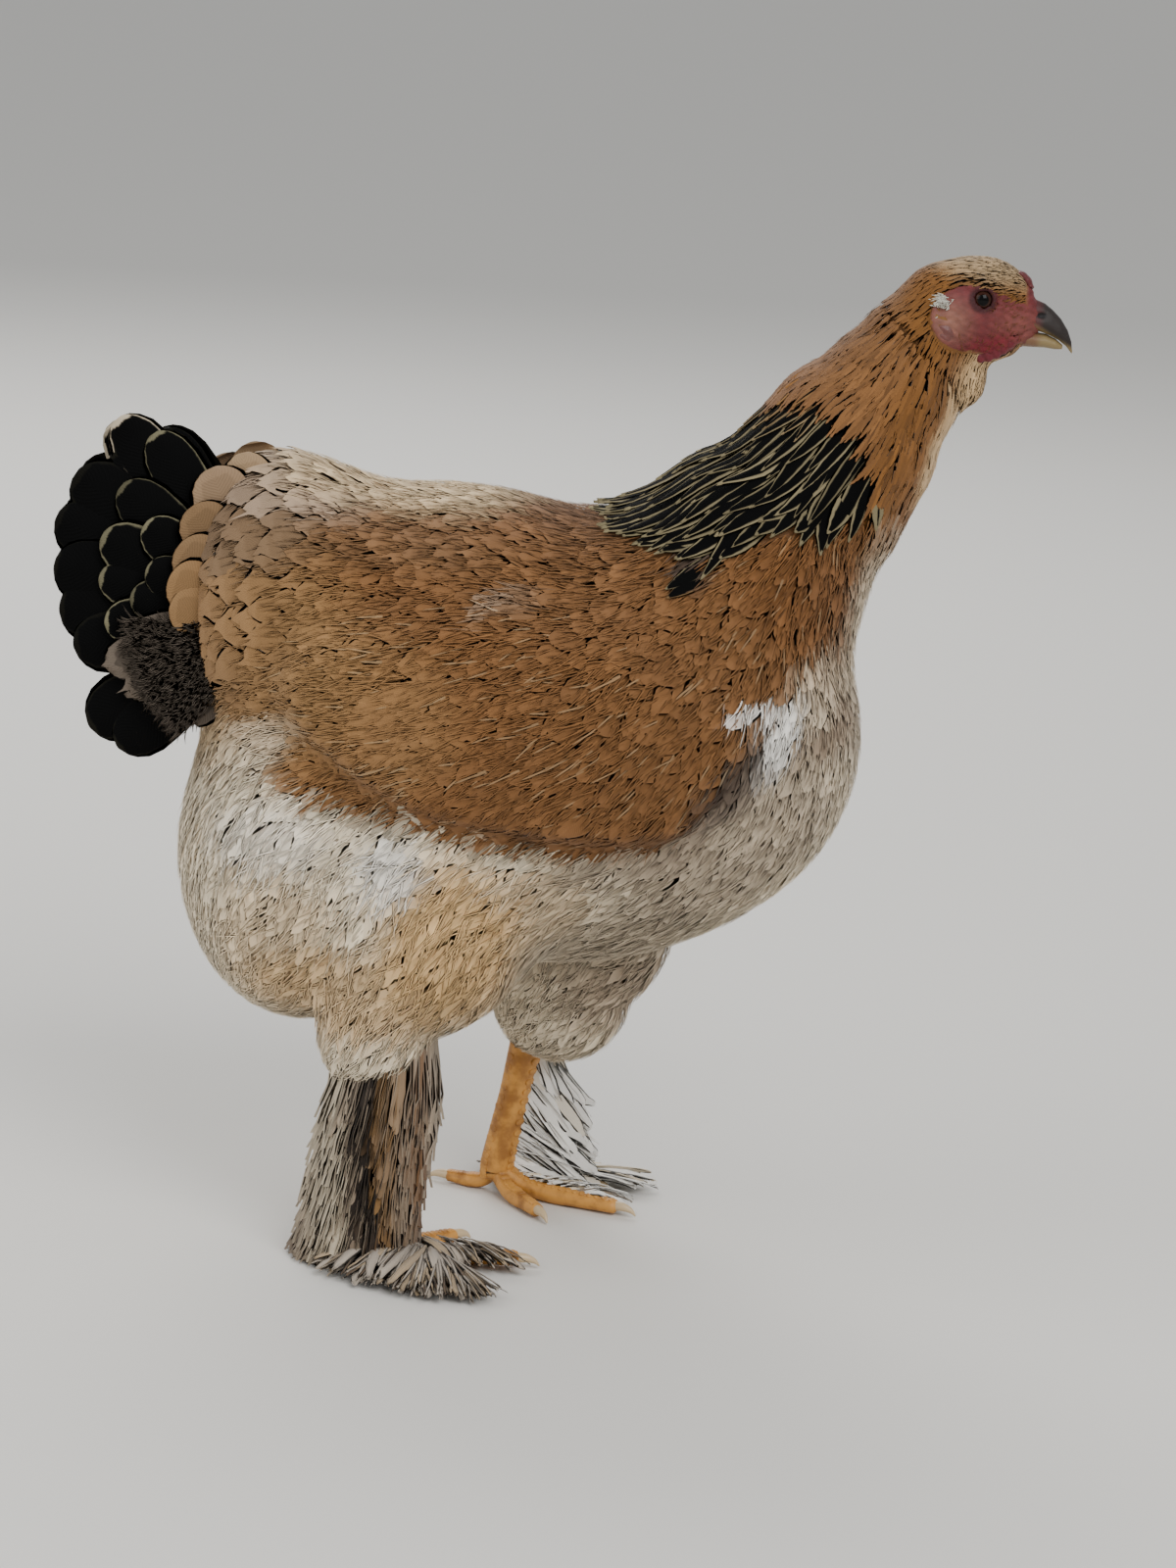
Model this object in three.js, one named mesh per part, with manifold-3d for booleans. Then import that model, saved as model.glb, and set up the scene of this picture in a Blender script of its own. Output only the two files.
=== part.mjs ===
// A buff Brahma hen, life size, standing in mid stride. Millimetres, +X towards the bill, +Y to the
// bird's left, +Z up. The origin is on the floor under the middle of the bird.
import * as THREE from "three";
import { mergeVertices } from "three/addons/utils/BufferGeometryUtils.js";
import Module from "manifold-3d";

const wasm = await Module();
wasm.setup();

// The gap that touching pieces keep, and how far a piece's root is sunk before it is cut back.
const GAP = 0.3;
const SINK = 4;

// Plumage outline of the body as ellipsoids: centre, radii, nose-up pitch in degrees.
const BODY = [
  { at: [20, 0, 254], radii: [148, 104, 110] }, // rib cage and flanks
  { at: [104, 0, 268], radii: [66, 76, 80] }, // breast
  { at: [-35, 0, 312], radii: [86, 80, 61] }, // saddle
  { at: [-98, 0, 300], radii: [58, 76, 74] }, // cushion
  { at: [-116, 0, 336], radii: [37, 46, 45] }, // tail head
  { at: [-88, 0, 191], radii: [65, 90, 86] }, // abdomen
];
const BODY_BLEND = 24;

// The neck from the crop to the nape: centre, radius across it, half width.
const NECK = [
  { at: [70, 0, 300], r: 66, w: 74 },
  { at: [115, 0, 350], r: 58, w: 60 },
  { at: [138, 0, 381], r: 47.5, w: 47 },
  { at: [155, 0, 410], r: 43, w: 39 },
  { at: [172, 0, 437], r: 34, w: 31 },
  { at: [182, 0, 459], r: 27, w: 24 },
  { at: [196, 0, 476], r: 22, w: 19 },
];
const SKULL = [
  { at: [203, 0, 481], radii: [29, 17.5, 21] }, // brain case and crown
  { at: [224, 0, 477], radii: [17, 11.5, 14], pitch: -8 }, // face
  { at: [212, 0, 466], radii: [17, 11, 9], pitch: -6 }, // jaw and throat
];
const SKULL_BLEND = 9;

// Where the whole bird is parted: a point on each cut and the way it faces.
const NECK_CUT = { at: [108, 0, 350], facing: [0.282, 0, 0.959] };
const HEAD_CUT = { at: [188, 0, 469], facing: [0.69, 0, 0.727] };

// Thighs from the hip to the hock, sized like the neck. The left leg is the forward one.
const THIGH = {
  right: [
    { at: [-20, 50, 205], r: 66, w: 50 },
    { at: [-34, 55, 170], r: 58, w: 44 },
    { at: [-44, 58, 140], r: 36, w: 31 },
    { at: [-48, 60, 112], r: 27, w: 24 },
  ],
  left: [
    { at: [10, 50, 205], r: 66, w: 50 },
    { at: [40, 55, 150], r: 54, w: 42 },
    { at: [40, 56, 110], r: 35, w: 30 },
  ],
};

const HOCK = { right: [-42, 58, 118], left: [26, 57, 92] };
const ANKLE = { right: [-36, 60, 17], left: [15, 60, 17] };
const SHANK_R = 7.6;

// Toes: heading from straight ahead in degrees (positive turns outwards), length and radius.
const TOES = {
  hind: { heading: 176, length: 26, r: 4.2 },
  inner: { heading: -46, length: 45, r: 4.8 },
  middle: { heading: -6, length: 66, r: 5.2 },
  outer: { heading: 30, length: 50, r: 4.6 },
};
const FOOT_YAW = { right: 4, left: -14 }; // turns the whole foot inwards where negative
const CLAW_LENGTH = 11;

const EYE = { at: [211, 14.6, 486.5], r: 4.9 };
const EAR = { at: [191, 20.6, 480] };
const LOBE = [193.5, 20.4, 470];

// Cell sizes of the faceted surfaces.
const TORSO_CELL = 21.5;
const NECK_CELL = 12;
const HEAD_CELL = 4.1;
const THIGH_CELL = 16;

const COLOURS = {
  buff: 0xb98450,
  hackle: 0x2b2018,
  cream: 0xd8c4a0,
  black: 0x17140f,
  face: 0xb4504f,
  comb: 0xa83a3e,
  horn: 0xb59a62,
  eye: 0x1d0f08,
  leg: 0xd29a45,
  claw: 0xc7ad7d,
};

const vec = (p) => new THREE.Vector3(...p);
const mix = (a, b, t) => a + (b - a) * t;

// The signed distance, near enough close to the surface, to an ellipsoid.
function ellipsoid(p, { at, radii, pitch = 0 }) {
  const turn = THREE.MathUtils.degToRad(pitch);
  const dx = p.x - at[0];
  const dz = p.z - at[2];
  const x = (dx * Math.cos(turn) + dz * Math.sin(turn)) / radii[0];
  const y = (p.y - at[1]) / radii[1];
  const z = (dz * Math.cos(turn) - dx * Math.sin(turn)) / radii[2];
  const k0 = Math.hypot(x, y, z);
  const k1 = Math.hypot(x / radii[0], y / radii[1], z / radii[2]);
  return (k0 * (k0 - 1)) / Math.max(k1, 1e-9);
}

// The distance to a tube of changing oval section along a chain of stations.
function tube(p, stations) {
  let best = Infinity;
  for (let i = 0; i + 1 < stations.length; i++) {
    const a = stations[i];
    const b = stations[i + 1];
    const from = vec(a.at);
    const run = vec(b.at).sub(from);
    const t = THREE.MathUtils.clamp(p.clone().sub(from).dot(run) / run.lengthSq(), 0, 1);
    const off = p.clone().sub(from).addScaledVector(run, -t);
    const r = mix(a.r, b.r, t);
    const w = mix(a.w, b.w, t);
    best = Math.min(best, Math.hypot(off.x, off.z, (off.y * r) / w) - r);
  }
  return best;
}

function blend(a, b, width) {
  const h = Math.max(width - Math.abs(a - b), 0) / width;
  return Math.min(a, b) - (h * h * width) / 4;
}

// Head, neck and trunk as one smooth field, negative inside.
function birdField(p) {
  let f = Infinity;
  for (const lump of BODY) f = blend(f, ellipsoid(p, lump), BODY_BLEND);
  f = blend(f, tube(p, NECK), BODY_BLEND);
  if (p.x > 150 && p.z > 430) {
    for (const lump of SKULL) f = blend(f, ellipsoid(p, lump), SKULL_BLEND);
  }
  return f;
}

function gradient(field, p, h = 0.5) {
  const along = (x, y, z) =>
    field(new THREE.Vector3(p.x + x, p.y + y, p.z + z)) -
    field(new THREE.Vector3(p.x - x, p.y - y, p.z - z));
  return new THREE.Vector3(along(h, 0, 0), along(0, h, 0), along(0, 0, h)).divideScalar(2 * h);
}

// Moves a point straight out or in until it lies `lift` outside the field's surface.
function settle(field, point, lift = 0, steps = 4) {
  const p = point.clone();
  for (let i = 0; i < steps; i++) {
    const g = gradient(field, p);
    p.addScaledVector(g, (lift - field(p)) / Math.max(g.lengthSq(), 1e-6));
  }
  return p;
}

// A field that ends a little beyond a cut: side -1 keeps what lies behind it, 1 what lies ahead.
function capped(field, { at, facing }, side, margin) {
  const normal = vec(facing).normalize();
  const from = vec(at);
  return (p) => Math.max(field(p), -side * p.clone().sub(from).dot(normal) - margin);
}

const CUBE_CORNERS = [0, 1, 2, 3, 4, 5, 6, 7].map((c) => [c & 1, (c >> 1) & 1, (c >> 2) & 1]);
const CUBE_EDGES = [];
for (let a = 0; a < 8; a++) for (const bit of [1, 2, 4]) if (!(a & bit)) CUBE_EDGES.push([a, a | bit]);
const CUBE_SIDES = [];
for (const axis of [0, 1, 2])
  for (const face of [0, 1])
    CUBE_SIDES.push(
      CUBE_EDGES.flatMap((ends, e) => (ends.every((c) => CUBE_CORNERS[c][axis] === face) ? [e] : [])),
    );

// A closed faceted surface of a field, by surface nets, with its vertices drawn onto the surface.
function polygonise(field, low, high, cell) {
  const n = low.map((v, i) => Math.ceil((high[i] - v) / cell) + 1);
  const at = (i, j, k) =>
    new THREE.Vector3(low[0] + i * cell, low[1] + j * cell, low[2] + k * cell);
  const index = (i, j, k) => (k * n[1] + j) * n[0] + i;
  const values = new Float64Array(n[0] * n[1] * n[2]);
  for (let k = 0; k < n[2]; k++)
    for (let j = 0; j < n[1]; j++)
      for (let i = 0; i < n[0]; i++) values[index(i, j, k)] = field(at(i, j, k));

  // One vertex for each sheet of the surface that crosses a cell. Crossed edges belong to one sheet
  // where they meet across a side of the cell, and around an inner corner where two sheets cross it.
  const positions = [];
  const vertexOf = new Map();
  const edgeKey = (cellIndex, edge) => cellIndex * 12 + edge;
  for (let k = 0; k + 1 < n[2]; k++)
    for (let j = 0; j + 1 < n[1]; j++)
      for (let i = 0; i + 1 < n[0]; i++) {
        const value = CUBE_CORNERS.map(([a, b, c]) => values[index(i + a, j + b, k + c)]);
        const crossed = CUBE_EDGES.map(([a, b]) => value[a] < 0 !== value[b] < 0);
        if (!crossed.some(Boolean)) continue;
        const sheet = CUBE_EDGES.map((_, e) => e);
        const tie = (a, b) => {
          const [keep, drop] = [sheet[a], sheet[b]];
          sheet.forEach((s, e) => (sheet[e] = s === drop ? keep : s));
        };
        for (const side of CUBE_SIDES) {
          const cut = side.filter((e) => crossed[e]);
          if (cut.length === 2) tie(cut[0], cut[1]);
          if (cut.length === 4)
            for (const a of cut)
              for (const b of cut) {
                const shared = CUBE_EDGES[a].find((c) => CUBE_EDGES[b].includes(c));
                if (a < b && shared !== undefined && value[shared] < 0) tie(a, b);
              }
        }
        for (const label of new Set(sheet.filter((_, e) => crossed[e]))) {
          const middle = new THREE.Vector3();
          const members = sheet.flatMap((s, e) => (s === label && crossed[e] ? [e] : []));
          for (const e of members) {
            const [a, b] = CUBE_EDGES[e];
            const from = at(...[i, j, k].map((v, c) => v + CUBE_CORNERS[a][c]));
            const to = at(...[i, j, k].map((v, c) => v + CUBE_CORNERS[b][c]));
            middle.add(from.lerp(to, value[a] / (value[a] - value[b])));
            vertexOf.set(edgeKey(index(i, j, k), e), positions.length / 3);
          }
          middle.divideScalar(members.length);
          const step = settle(field, middle, 0, 2).sub(middle).clampLength(0, cell * 0.6);
          positions.push(...middle.add(step).toArray());
        }
      }

  const faces = [];
  const point = (v) => new THREE.Vector3().fromArray(positions, v * 3);
  const quad = (a, b, c, d) => {
    if (point(a).distanceTo(point(c)) <= point(b).distanceTo(point(d)))
      faces.push(a, b, c, a, c, d);
    else faces.push(a, b, d, b, c, d);
  };
  for (let k = 1; k + 1 < n[2]; k++)
    for (let j = 1; j + 1 < n[1]; j++)
      for (let i = 1; i + 1 < n[0]; i++) {
        const here = values[index(i, j, k)] < 0;
        const steps = [
          [1, 0, 0],
          [0, 1, 0],
          [0, 0, 1],
        ];
        for (let axis = 0; axis < 3; axis++) {
          const [di, dj, dk] = steps[axis];
          if (values[index(i + di, j + dj, k + dk)] < 0 === here) continue;
          const u = steps[(axis + 1) % 3];
          const v = steps[(axis + 2) % 3];
          const cellAt = (a, b) => {
            const corner = [0, 1, 2].map((c) => a * u[c] + b * v[c]);
            const edge = CUBE_EDGES.findIndex(
              ([p, q]) =>
                CUBE_CORNERS[p].every((c, d) => c === corner[d]) &&
                CUBE_CORNERS[q].every((c, d) => c === corner[d] + steps[axis][d]),
            );
            return vertexOf.get(edgeKey(index(i - corner[0], j - corner[1], k - corner[2]), edge));
          };
          const ring = [cellAt(1, 1), cellAt(0, 1), cellAt(0, 0), cellAt(1, 0)];
          if (here) quad(...ring);
          else quad(...ring.reverse());
        }
      }
  return closedSolid(positions, faces);
}

// A solid whose every vertex is moved out along its own normal.
function swollen(solid, by) {
  const mesh = solid.getMesh();
  const geometry = new THREE.BufferGeometry();
  geometry.setAttribute("position", new THREE.BufferAttribute(mesh.vertProperties.slice(), 3));
  geometry.setIndex(new THREE.BufferAttribute(mesh.triVerts.slice(), 1));
  geometry.computeVertexNormals();
  const { position, normal } = geometry.attributes;
  for (let i = 0; i < position.array.length; i++) position.array[i] += normal.array[i] * by;
  return closedSolid(position.array, mesh.triVerts);
}

function closedSolid(positions, faces) {
  return new wasm.Manifold(
    new wasm.Mesh({
      numProp: 3,
      vertProperties: new Float32Array(positions),
      triVerts: new Uint32Array(faces),
    }),
  );
}

// A three.js geometry as a solid.
function solidOf(geometry) {
  const bare = geometry.clone();
  bare.deleteAttribute("normal");
  bare.deleteAttribute("uv");
  const merged = mergeVertices(bare, 1e-4);
  return closedSolid(merged.attributes.position.array, merged.index.array);
}

// The half space behind (side -1) or before (side 1) a cut, less half the gap, as a large box.
function halfSpace({ at, facing }, side) {
  const reach = 2000;
  const box = new THREE.BoxGeometry(reach, reach, reach);
  const normal = vec(facing).normalize();
  const turn = new THREE.Quaternion().setFromUnitVectors(new THREE.Vector3(0, 0, 1), normal);
  box.applyQuaternion(turn);
  const centre = vec(at).addScaledVector(normal, side * (reach / 2 + GAP / 2));
  box.translate(centre.x, centre.y, centre.z);
  return solidOf(box);
}

function ellipsoidSolid(at, radii, across = 10, down = 8) {
  const ball = new THREE.SphereGeometry(1, across, down);
  ball.scale(...radii);
  ball.translate(...at);
  return solidOf(ball);
}

// Joins pieces into one solid and keeps only its largest closed surface.
function join(pieces) {
  return largest(pieces.length > 1 ? wasm.Manifold.union(pieces) : pieces[0]);
}

function largest(solid) {
  const bodies = solid.decompose();
  bodies.sort((a, b) => b.volume() - a.volume());
  return bodies[0];
}

// A closed sleeve through rings of points, each ring a list of Vector3 in the same order.
function loft(rings) {
  const sides = rings[0].length;
  const positions = [];
  for (const ring of rings) for (const p of ring) positions.push(...p.toArray());
  const faces = [];
  for (let r = 0; r + 1 < rings.length; r++)
    for (let s = 0; s < sides; s++) {
      const a = r * sides + s;
      const b = r * sides + ((s + 1) % sides);
      faces.push(a, b, b + sides, a, b + sides, a + sides);
    }
  const last = (rings.length - 1) * sides;
  for (let s = 1; s + 1 < sides; s++) {
    faces.push(0, s + 1, s);
    faces.push(last, last + s, last + s + 1);
  }
  const solid = closedSolid(positions, faces);
  if (solid.volume() > 0) return solid;
  for (let f = 0; f < faces.length; f += 3) [faces[f + 1], faces[f + 2]] = [faces[f + 2], faces[f + 1]];
  return closedSolid(positions, faces);
}

// A round limb along points with a radius at each.
function limb(points, radii, sides = 8) {
  return loft(
    points.map((p, i) => {
      const ahead = points[Math.min(i + 1, points.length - 1)]
        .clone()
        .sub(points[Math.max(i - 1, 0)])
        .normalize();
      const side = new THREE.Vector3(0, 0, 1).cross(ahead);
      if (side.lengthSq() < 0.02) side.set(0, 1, 0).cross(ahead);
      side.normalize();
      const up = ahead.clone().cross(side);
      return Array.from({ length: sides }, (_, s) => {
        const turn = ((s + 0.5) / sides) * Math.PI * 2;
        return p
          .clone()
          .addScaledVector(side, Math.cos(turn) * radii[i])
          .addScaledVector(up, Math.sin(turn) * radii[i]);
      });
    }),
  );
}

// Feather outlines: the half width as a share of the widest, at shares of the length.
const ROUND_TIP = [
  [0, 0.4],
  [0.42, 0.95],
  [0.82, 0.94],
  [1, 0.42],
];
const POINTED_TIP = [
  [0, 0.35],
  [0.42, 1],
  [0.76, 0.86],
  [1, 0.14],
];

// One feather vane: a thin plate along a spine, bowed across like a shallow roof, or flat where
// bow is 0. place(t) gives the spine's point and facing(t) the way its upper face looks.
function vane({ place, facing, half, outline = ROUND_TIP, thick = 0.9, bow = 0.1 }) {
  const rings = outline.map(([t, share], i) => {
    const p = place(t);
    const ahead = place(Math.min(t + 0.05, 1)).sub(place(Math.max(t - 0.05, 0))).normalize();
    const up = facing(t).clone();
    up.addScaledVector(ahead, -up.dot(ahead)).normalize();
    const side = up.clone().cross(ahead);
    const w = half * share;
    const deep = thick * (i === outline.length - 1 ? 0.7 : 1);
    const rim = -bow * w;
    const ringPoint = (across, rise) =>
      p.clone().addScaledVector(side, across).addScaledVector(up, rise);
    const ring = [ringPoint(-w, rim), ringPoint(-w, rim - deep)];
    if (bow) ring.push(ringPoint(0, -deep));
    ring.push(ringPoint(w, rim - deep), ringPoint(w, rim));
    if (bow) ring.push(ringPoint(0, 0));
    return ring;
  });
  return loft(rings);
}

const bird = new THREE.Group();

function addNode(name, solid, colour, roughness = 0.8, metalness = 0) {
  const made = largest(solid).getMesh();
  const geometry = new THREE.BufferGeometry();
  const count = made.vertProperties.length / made.numProp;
  const position = new Float32Array(count * 3);
  for (let i = 0; i < count; i++)
    for (let c = 0; c < 3; c++) position[i * 3 + c] = made.vertProperties[i * made.numProp + c];
  geometry.setAttribute("position", new THREE.BufferAttribute(position, 3));
  geometry.setIndex(new THREE.BufferAttribute(new Uint32Array(made.triVerts), 1));
  const material = new THREE.MeshStandardMaterial({ color: colour, roughness, metalness });
  const mesh = new THREE.Mesh(geometry, material);
  mesh.name = name;
  bird.add(mesh);
}

const SIDES = { right: -1, left: 1 };
const mirrored = (p, side) => new THREE.Vector3(p[0], side * p[1], p[2]);

// Trunk
const TRUNK_LOW = [-190, -132, 80];
const TRUNK_HIGH = [215, 132, 420];
const wholeTrunk = polygonise(capped(birdField, NECK_CUT, -1, 14), TRUNK_LOW, TRUNK_HIGH, TORSO_CELL);
const trunk = largest(wholeTrunk.intersect(halfSpace(NECK_CUT, -1)));
const trunkGrown = swollen(wholeTrunk, GAP);
addNode("torso", trunk, COLOURS.buff);

// The y of the trunk's right or left side, `lift` outside it, at a place in the side view.
function flank(x, z, side, lift) {
  let inner = 0;
  let outer = 150;
  for (let i = 0; i < 24; i++) {
    const y = (inner + outer) / 2;
    if (birdField(new THREE.Vector3(x, side * y, z)) < lift) inner = y;
    else outer = y;
  }
  return new THREE.Vector3(x, side * outer, z);
}

// Neck, with its cape of hackle feathers
const NECK_LOW = [-40, -110, 300];
const NECK_HIGH = [250, 110, 525];
const neckField = capped(capped(birdField, NECK_CUT, 1, 12), HEAD_CUT, -1, 12);
const wholeNeck = polygonise(neckField, NECK_LOW, NECK_HIGH, NECK_CELL);
const neckCore = largest(
  wholeNeck.intersect(halfSpace(NECK_CUT, 1)).intersect(halfSpace(HEAD_CUT, -1)),
);

// The way the hackle lies: down the neck, then back over the shoulders.
function hackleLie(p) {
  const low = THREE.MathUtils.clamp((400 - p.z) / 60, 0, 1);
  const back = THREE.MathUtils.clamp((150 - p.x) / 70, 0, 1);
  return new THREE.Vector3(mix(-0.5, -0.78, low * back), 0, mix(-0.86, -0.6, low * back)).normalize();
}

// Tiers of the cape from the lowest up: where each starts along the neck, how many feathers go
// round it, their length, half width and how proud their tips lie.
const HACKLE_TIERS = [
  { station: 1.75, count: 17, length: 62, half: 11.5, lift: 4.9 },
  { station: 2.75, count: 14, length: 60, half: 10.5, lift: 4.9 },
  { station: 3.8, count: 11, length: 54, half: 9, lift: 4.6 },
];
const STACK = 1.3; // every other feather of a tier lies this much higher than its neighbours
const CLEAR_AT = 0.42; // share of a hackle feather's length at which it is clear of the skin

function neckStation(s) {
  const i = Math.min(Math.floor(s), NECK.length - 2);
  const t = s - i;
  const at = vec(NECK[i].at).lerp(vec(NECK[i + 1].at), t);
  return { at, r: mix(NECK[i].r, NECK[i + 1].r, t), w: mix(NECK[i].w, NECK[i + 1].w, t) };
}

function hackleFeather(tier, turn, stack) {
  const { at, r, w } = neckStation(tier.station);
  const i = Math.min(Math.floor(tier.station), NECK.length - 2);
  const axis = vec(NECK[i + 1].at).sub(vec(NECK[i].at)).normalize();
  const back = new THREE.Vector3(0, 1, 0).cross(axis).multiplyScalar(-1);
  const start = at
    .clone()
    .addScaledVector(back, Math.cos(turn) * r)
    .add(new THREE.Vector3(0, Math.sin(turn) * w, 0));
  const steps = 10;
  const front = (1 - Math.cos(turn)) / 2;
  const length = tier.length * mix(1, 0.72, front);
  const path = [settle(birdField, start, -SINK)];
  for (let n = 1; n <= steps; n++) {
    const t = n / steps;
    const clear = 1.5 + stack * 0.6;
    const rise =
      t < CLEAR_AT
        ? mix(-SINK - 1, clear, t / CLEAR_AT)
        : mix(clear, tier.lift + stack, (t - CLEAR_AT) / (1 - CLEAR_AT));
    const last = path[n - 1];
    const g = gradient(birdField, last).normalize();
    const lie = hackleLie(last);
    lie.addScaledVector(g, -lie.dot(g)).normalize();
    path.push(settle(birdField, last.clone().addScaledVector(lie, length / steps), rise, 3));
  }
  const curve = new THREE.CatmullRomCurve3(path);
  return vane({
    place: (t) => curve.getPoint(t),
    facing: (t) => gradient(birdField, curve.getPoint(t)),
    half: tier.half * mix(1, 0.8, front),
    outline: POINTED_TIP,
    thick: 0.8,
    bow: 0,
  });
}

const hackle = [];
HACKLE_TIERS.forEach((tier, row) => {
  for (let n = 0; n < tier.count; n++) {
    const turn = ((n + (row % 2) / 2) / tier.count) * Math.PI * 2;
    hackle.push(hackleFeather(tier, turn, (n % 2) * STACK));
  }
});
const [cutX, cutY, cutZ] = NECK_CUT.at;
const trunkSide = halfSpace({ ...NECK_CUT, at: [cutX, cutY, cutZ + GAP / 2] }, -1);
const neck = join([neckCore, ...hackle])
  .subtract(trunkGrown.intersect(trunkSide))
  .intersect(halfSpace(HEAD_CUT, -1));
addNode("neck", neck, COLOURS.hackle);

// Head: skull, cheeks, brow and lids, with the ear cup and the corner of the mouth
const LID_R = EYE.r + 0.9;
const LID_THICK = 1.15;
function headField(p) {
  let f = birdField(p);
  const q = new THREE.Vector3(p.x, Math.abs(p.y), p.z);
  const eye = vec(EYE.at);
  const brow = tube(q, [
    { at: [203, 14, 494], r: 3.2, w: 3.2 },
    { at: [222, 11.5, 491], r: 2.6, w: 2.6 },
  ]);
  f = blend(f, brow, 4);
  const cheek = ellipsoid(q, { at: [205, 12, 472], radii: [13, 5, 8], pitch: 18 });
  f = blend(f, cheek, 5);
  const out = q.y - (eye.y + 1.6);
  const ring = Math.hypot(q.x - eye.x, q.z - eye.z) - LID_R;
  f = blend(f, Math.hypot(ring, out) - LID_THICK, 2.2);
  const ear = ellipsoid(q, { at: EAR.at, radii: [3.6, 4, 3.2] });
  f = -blend(-f, ear, 2);
  const gape = tube(q, [
    { at: [220, 10.5, 469.5], r: 0.9, w: 0.9 },
    { at: [236, 7.5, 472.5], r: 1.1, w: 1.1 },
  ]);
  return -blend(-f, gape, 1.2);
}
const headEnd = capped(headField, HEAD_CUT, 1, 6);
const headBall = polygonise(headEnd, [150, -32, 435], [262, 32, 520], HEAD_CELL);
const eyeHollow = (side, grow) =>
  solidOf(
    new THREE.SphereGeometry(EYE.r + grow, 9, 6)
      .rotateX(Math.PI / 2)
      .translate(EYE.at[0], side * EYE.at[1], EYE.at[2]),
  );

// Bill: the upper mandible hooks over the lower, and the nostrils are pits near its root
function mandible(profile, sides = 10) {
  return loft(
    profile.map(({ x, z, half, up, down }) =>
      Array.from({ length: sides }, (_, s) => {
        const turn = ((s + 0.5) / sides) * Math.PI * 2;
        const rise = Math.sin(turn);
        return new THREE.Vector3(x, Math.cos(turn) * half, z + rise * (rise > 0 ? up : down));
      }),
    ),
  );
}
const upperBeak = mandible([
  { x: 233, z: 477, half: 7.4, up: 12, down: 3.6 },
  { x: 239, z: 476.4, half: 7, up: 11, down: 4 },
  { x: 245, z: 475, half: 5.9, up: 8.6, down: 4 },
  { x: 250.5, z: 472.4, half: 4.5, up: 6.4, down: 3.6 },
  { x: 254.5, z: 469.2, half: 2.9, up: 4.4, down: 3 },
  { x: 257, z: 465.6, half: 1, up: 1.8, down: 1.4 },
]);
const lowerBeak = mandible([
  { x: 231, z: 468.4, half: 6, up: 3.4, down: 4.4 },
  { x: 238, z: 468.4, half: 5.5, up: 3.6, down: 4 },
  { x: 244, z: 468, half: 4.5, up: 3.2, down: 3.4 },
  { x: 249, z: 466.8, half: 3, up: 2.4, down: 2.6 },
  { x: 252, z: 465.6, half: 1.2, up: 1.2, down: 1.2 },
]);
const upperGrown = mandible(
  [
    { x: 232, z: 477, half: 7.4, up: 12, down: 3.6 },
    { x: 239, z: 476.4, half: 7, up: 11, down: 4 },
    { x: 245, z: 475, half: 5.9, up: 8.6, down: 4 },
    { x: 250.5, z: 472.4, half: 4.5, up: 6.4, down: 3.6 },
    { x: 254.5, z: 469.2, half: 2.9, up: 4.4, down: 3 },
    { x: 257.6, z: 465.2, half: 1, up: 1.8, down: 1.4 },
  ].map((ring) => ({ ...ring, half: ring.half + GAP, up: ring.up + GAP, down: ring.down + GAP })),
);
const lowerGrown = mandible(
  [
    { x: 230, z: 468.4, half: 6, up: 3.4, down: 4.4 },
    { x: 238, z: 468.4, half: 5.5, up: 3.6, down: 4 },
    { x: 244, z: 468, half: 4.5, up: 3.2, down: 3.4 },
    { x: 252.4, z: 465.6, half: 1.2, up: 1.2, down: 1.2 },
  ].map((ring) => ({ ...ring, half: ring.half + GAP, up: ring.up + GAP, down: ring.down + GAP })),
);
const nostrils = [-1, 1].map((side) =>
  ellipsoidSolid([242, side * 7, 479.5], [2.4, 1.8, 1.3], 8, 6),
);
addNode("beak_upper", upperBeak.subtract(wasm.Manifold.union(nostrils)), COLOURS.horn, 0.45);
addNode("beak_lower", lowerBeak.subtract(upperGrown), COLOURS.horn, 0.45);

// Comb: three low beaded ridges from the bill's root back over the brow
function combRidge(row) {
  const rings = [];
  const steps = 10;
  for (let n = 0; n <= steps; n++) {
    const t = n / steps;
    const x = mix(239, 219, t) - Math.abs(row) * 1.2;
    const base = settle(headField, new THREE.Vector3(x, row * 3.2, 502), 0);
    const swell = Math.sin(t * Math.PI) ** 0.6;
    const bead = 1 - 0.32 * (n % 2);
    const tall = (row === 0 ? 4.4 : 3) * swell * bead + 0.4;
    const wide = 1.7 * mix(0.5, 1, swell) * mix(0.8, 1, bead);
    rings.push([
      base.clone().add(new THREE.Vector3(0, -wide, -1.5)),
      base.clone().add(new THREE.Vector3(0, wide, -1.5)),
      base.clone().add(new THREE.Vector3(0, wide * 0.8, tall * 0.6)),
      base.clone().add(new THREE.Vector3(0, 0, tall)),
      base.clone().add(new THREE.Vector3(0, -wide * 0.8, tall * 0.6)),
    ]);
  }
  return loft(rings);
}
const combWeb = loft(
  [238, 230, 221].map((x) => {
    const base = settle(headField, new THREE.Vector3(x, 0, 502), 0);
    return [[-3.6, -1.5], [3.6, -1.5], [3.2, 1], [-3.2, 1]].map(
      ([y, z]) => base.clone().add(new THREE.Vector3(0, y, z)),
    );
  }),
);
const comb = join([combWeb, combRidge(-1), combRidge(0), combRidge(1)]);

// Wattles hang under the jaw, and a lobe lies under each ear
const wattle = (side, grow) =>
  join([
    ellipsoidSolid([218.5, side * 8.6, 460], [7.8 + grow, 2.4 + grow, 6.4 + grow], 9, 6),
    ellipsoidSolid([216.5, side * 9.4, 464.5], [5.8 + grow, 2.8 + grow, 5.4 + grow], 8, 5),
  ]);
const earlobe = (side, grow) =>
  ellipsoidSolid([LOBE[0], side * LOBE[1], LOBE[2]], [4.6 + grow, 2.8 + grow, 5.4 + grow], 9, 6);

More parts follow.
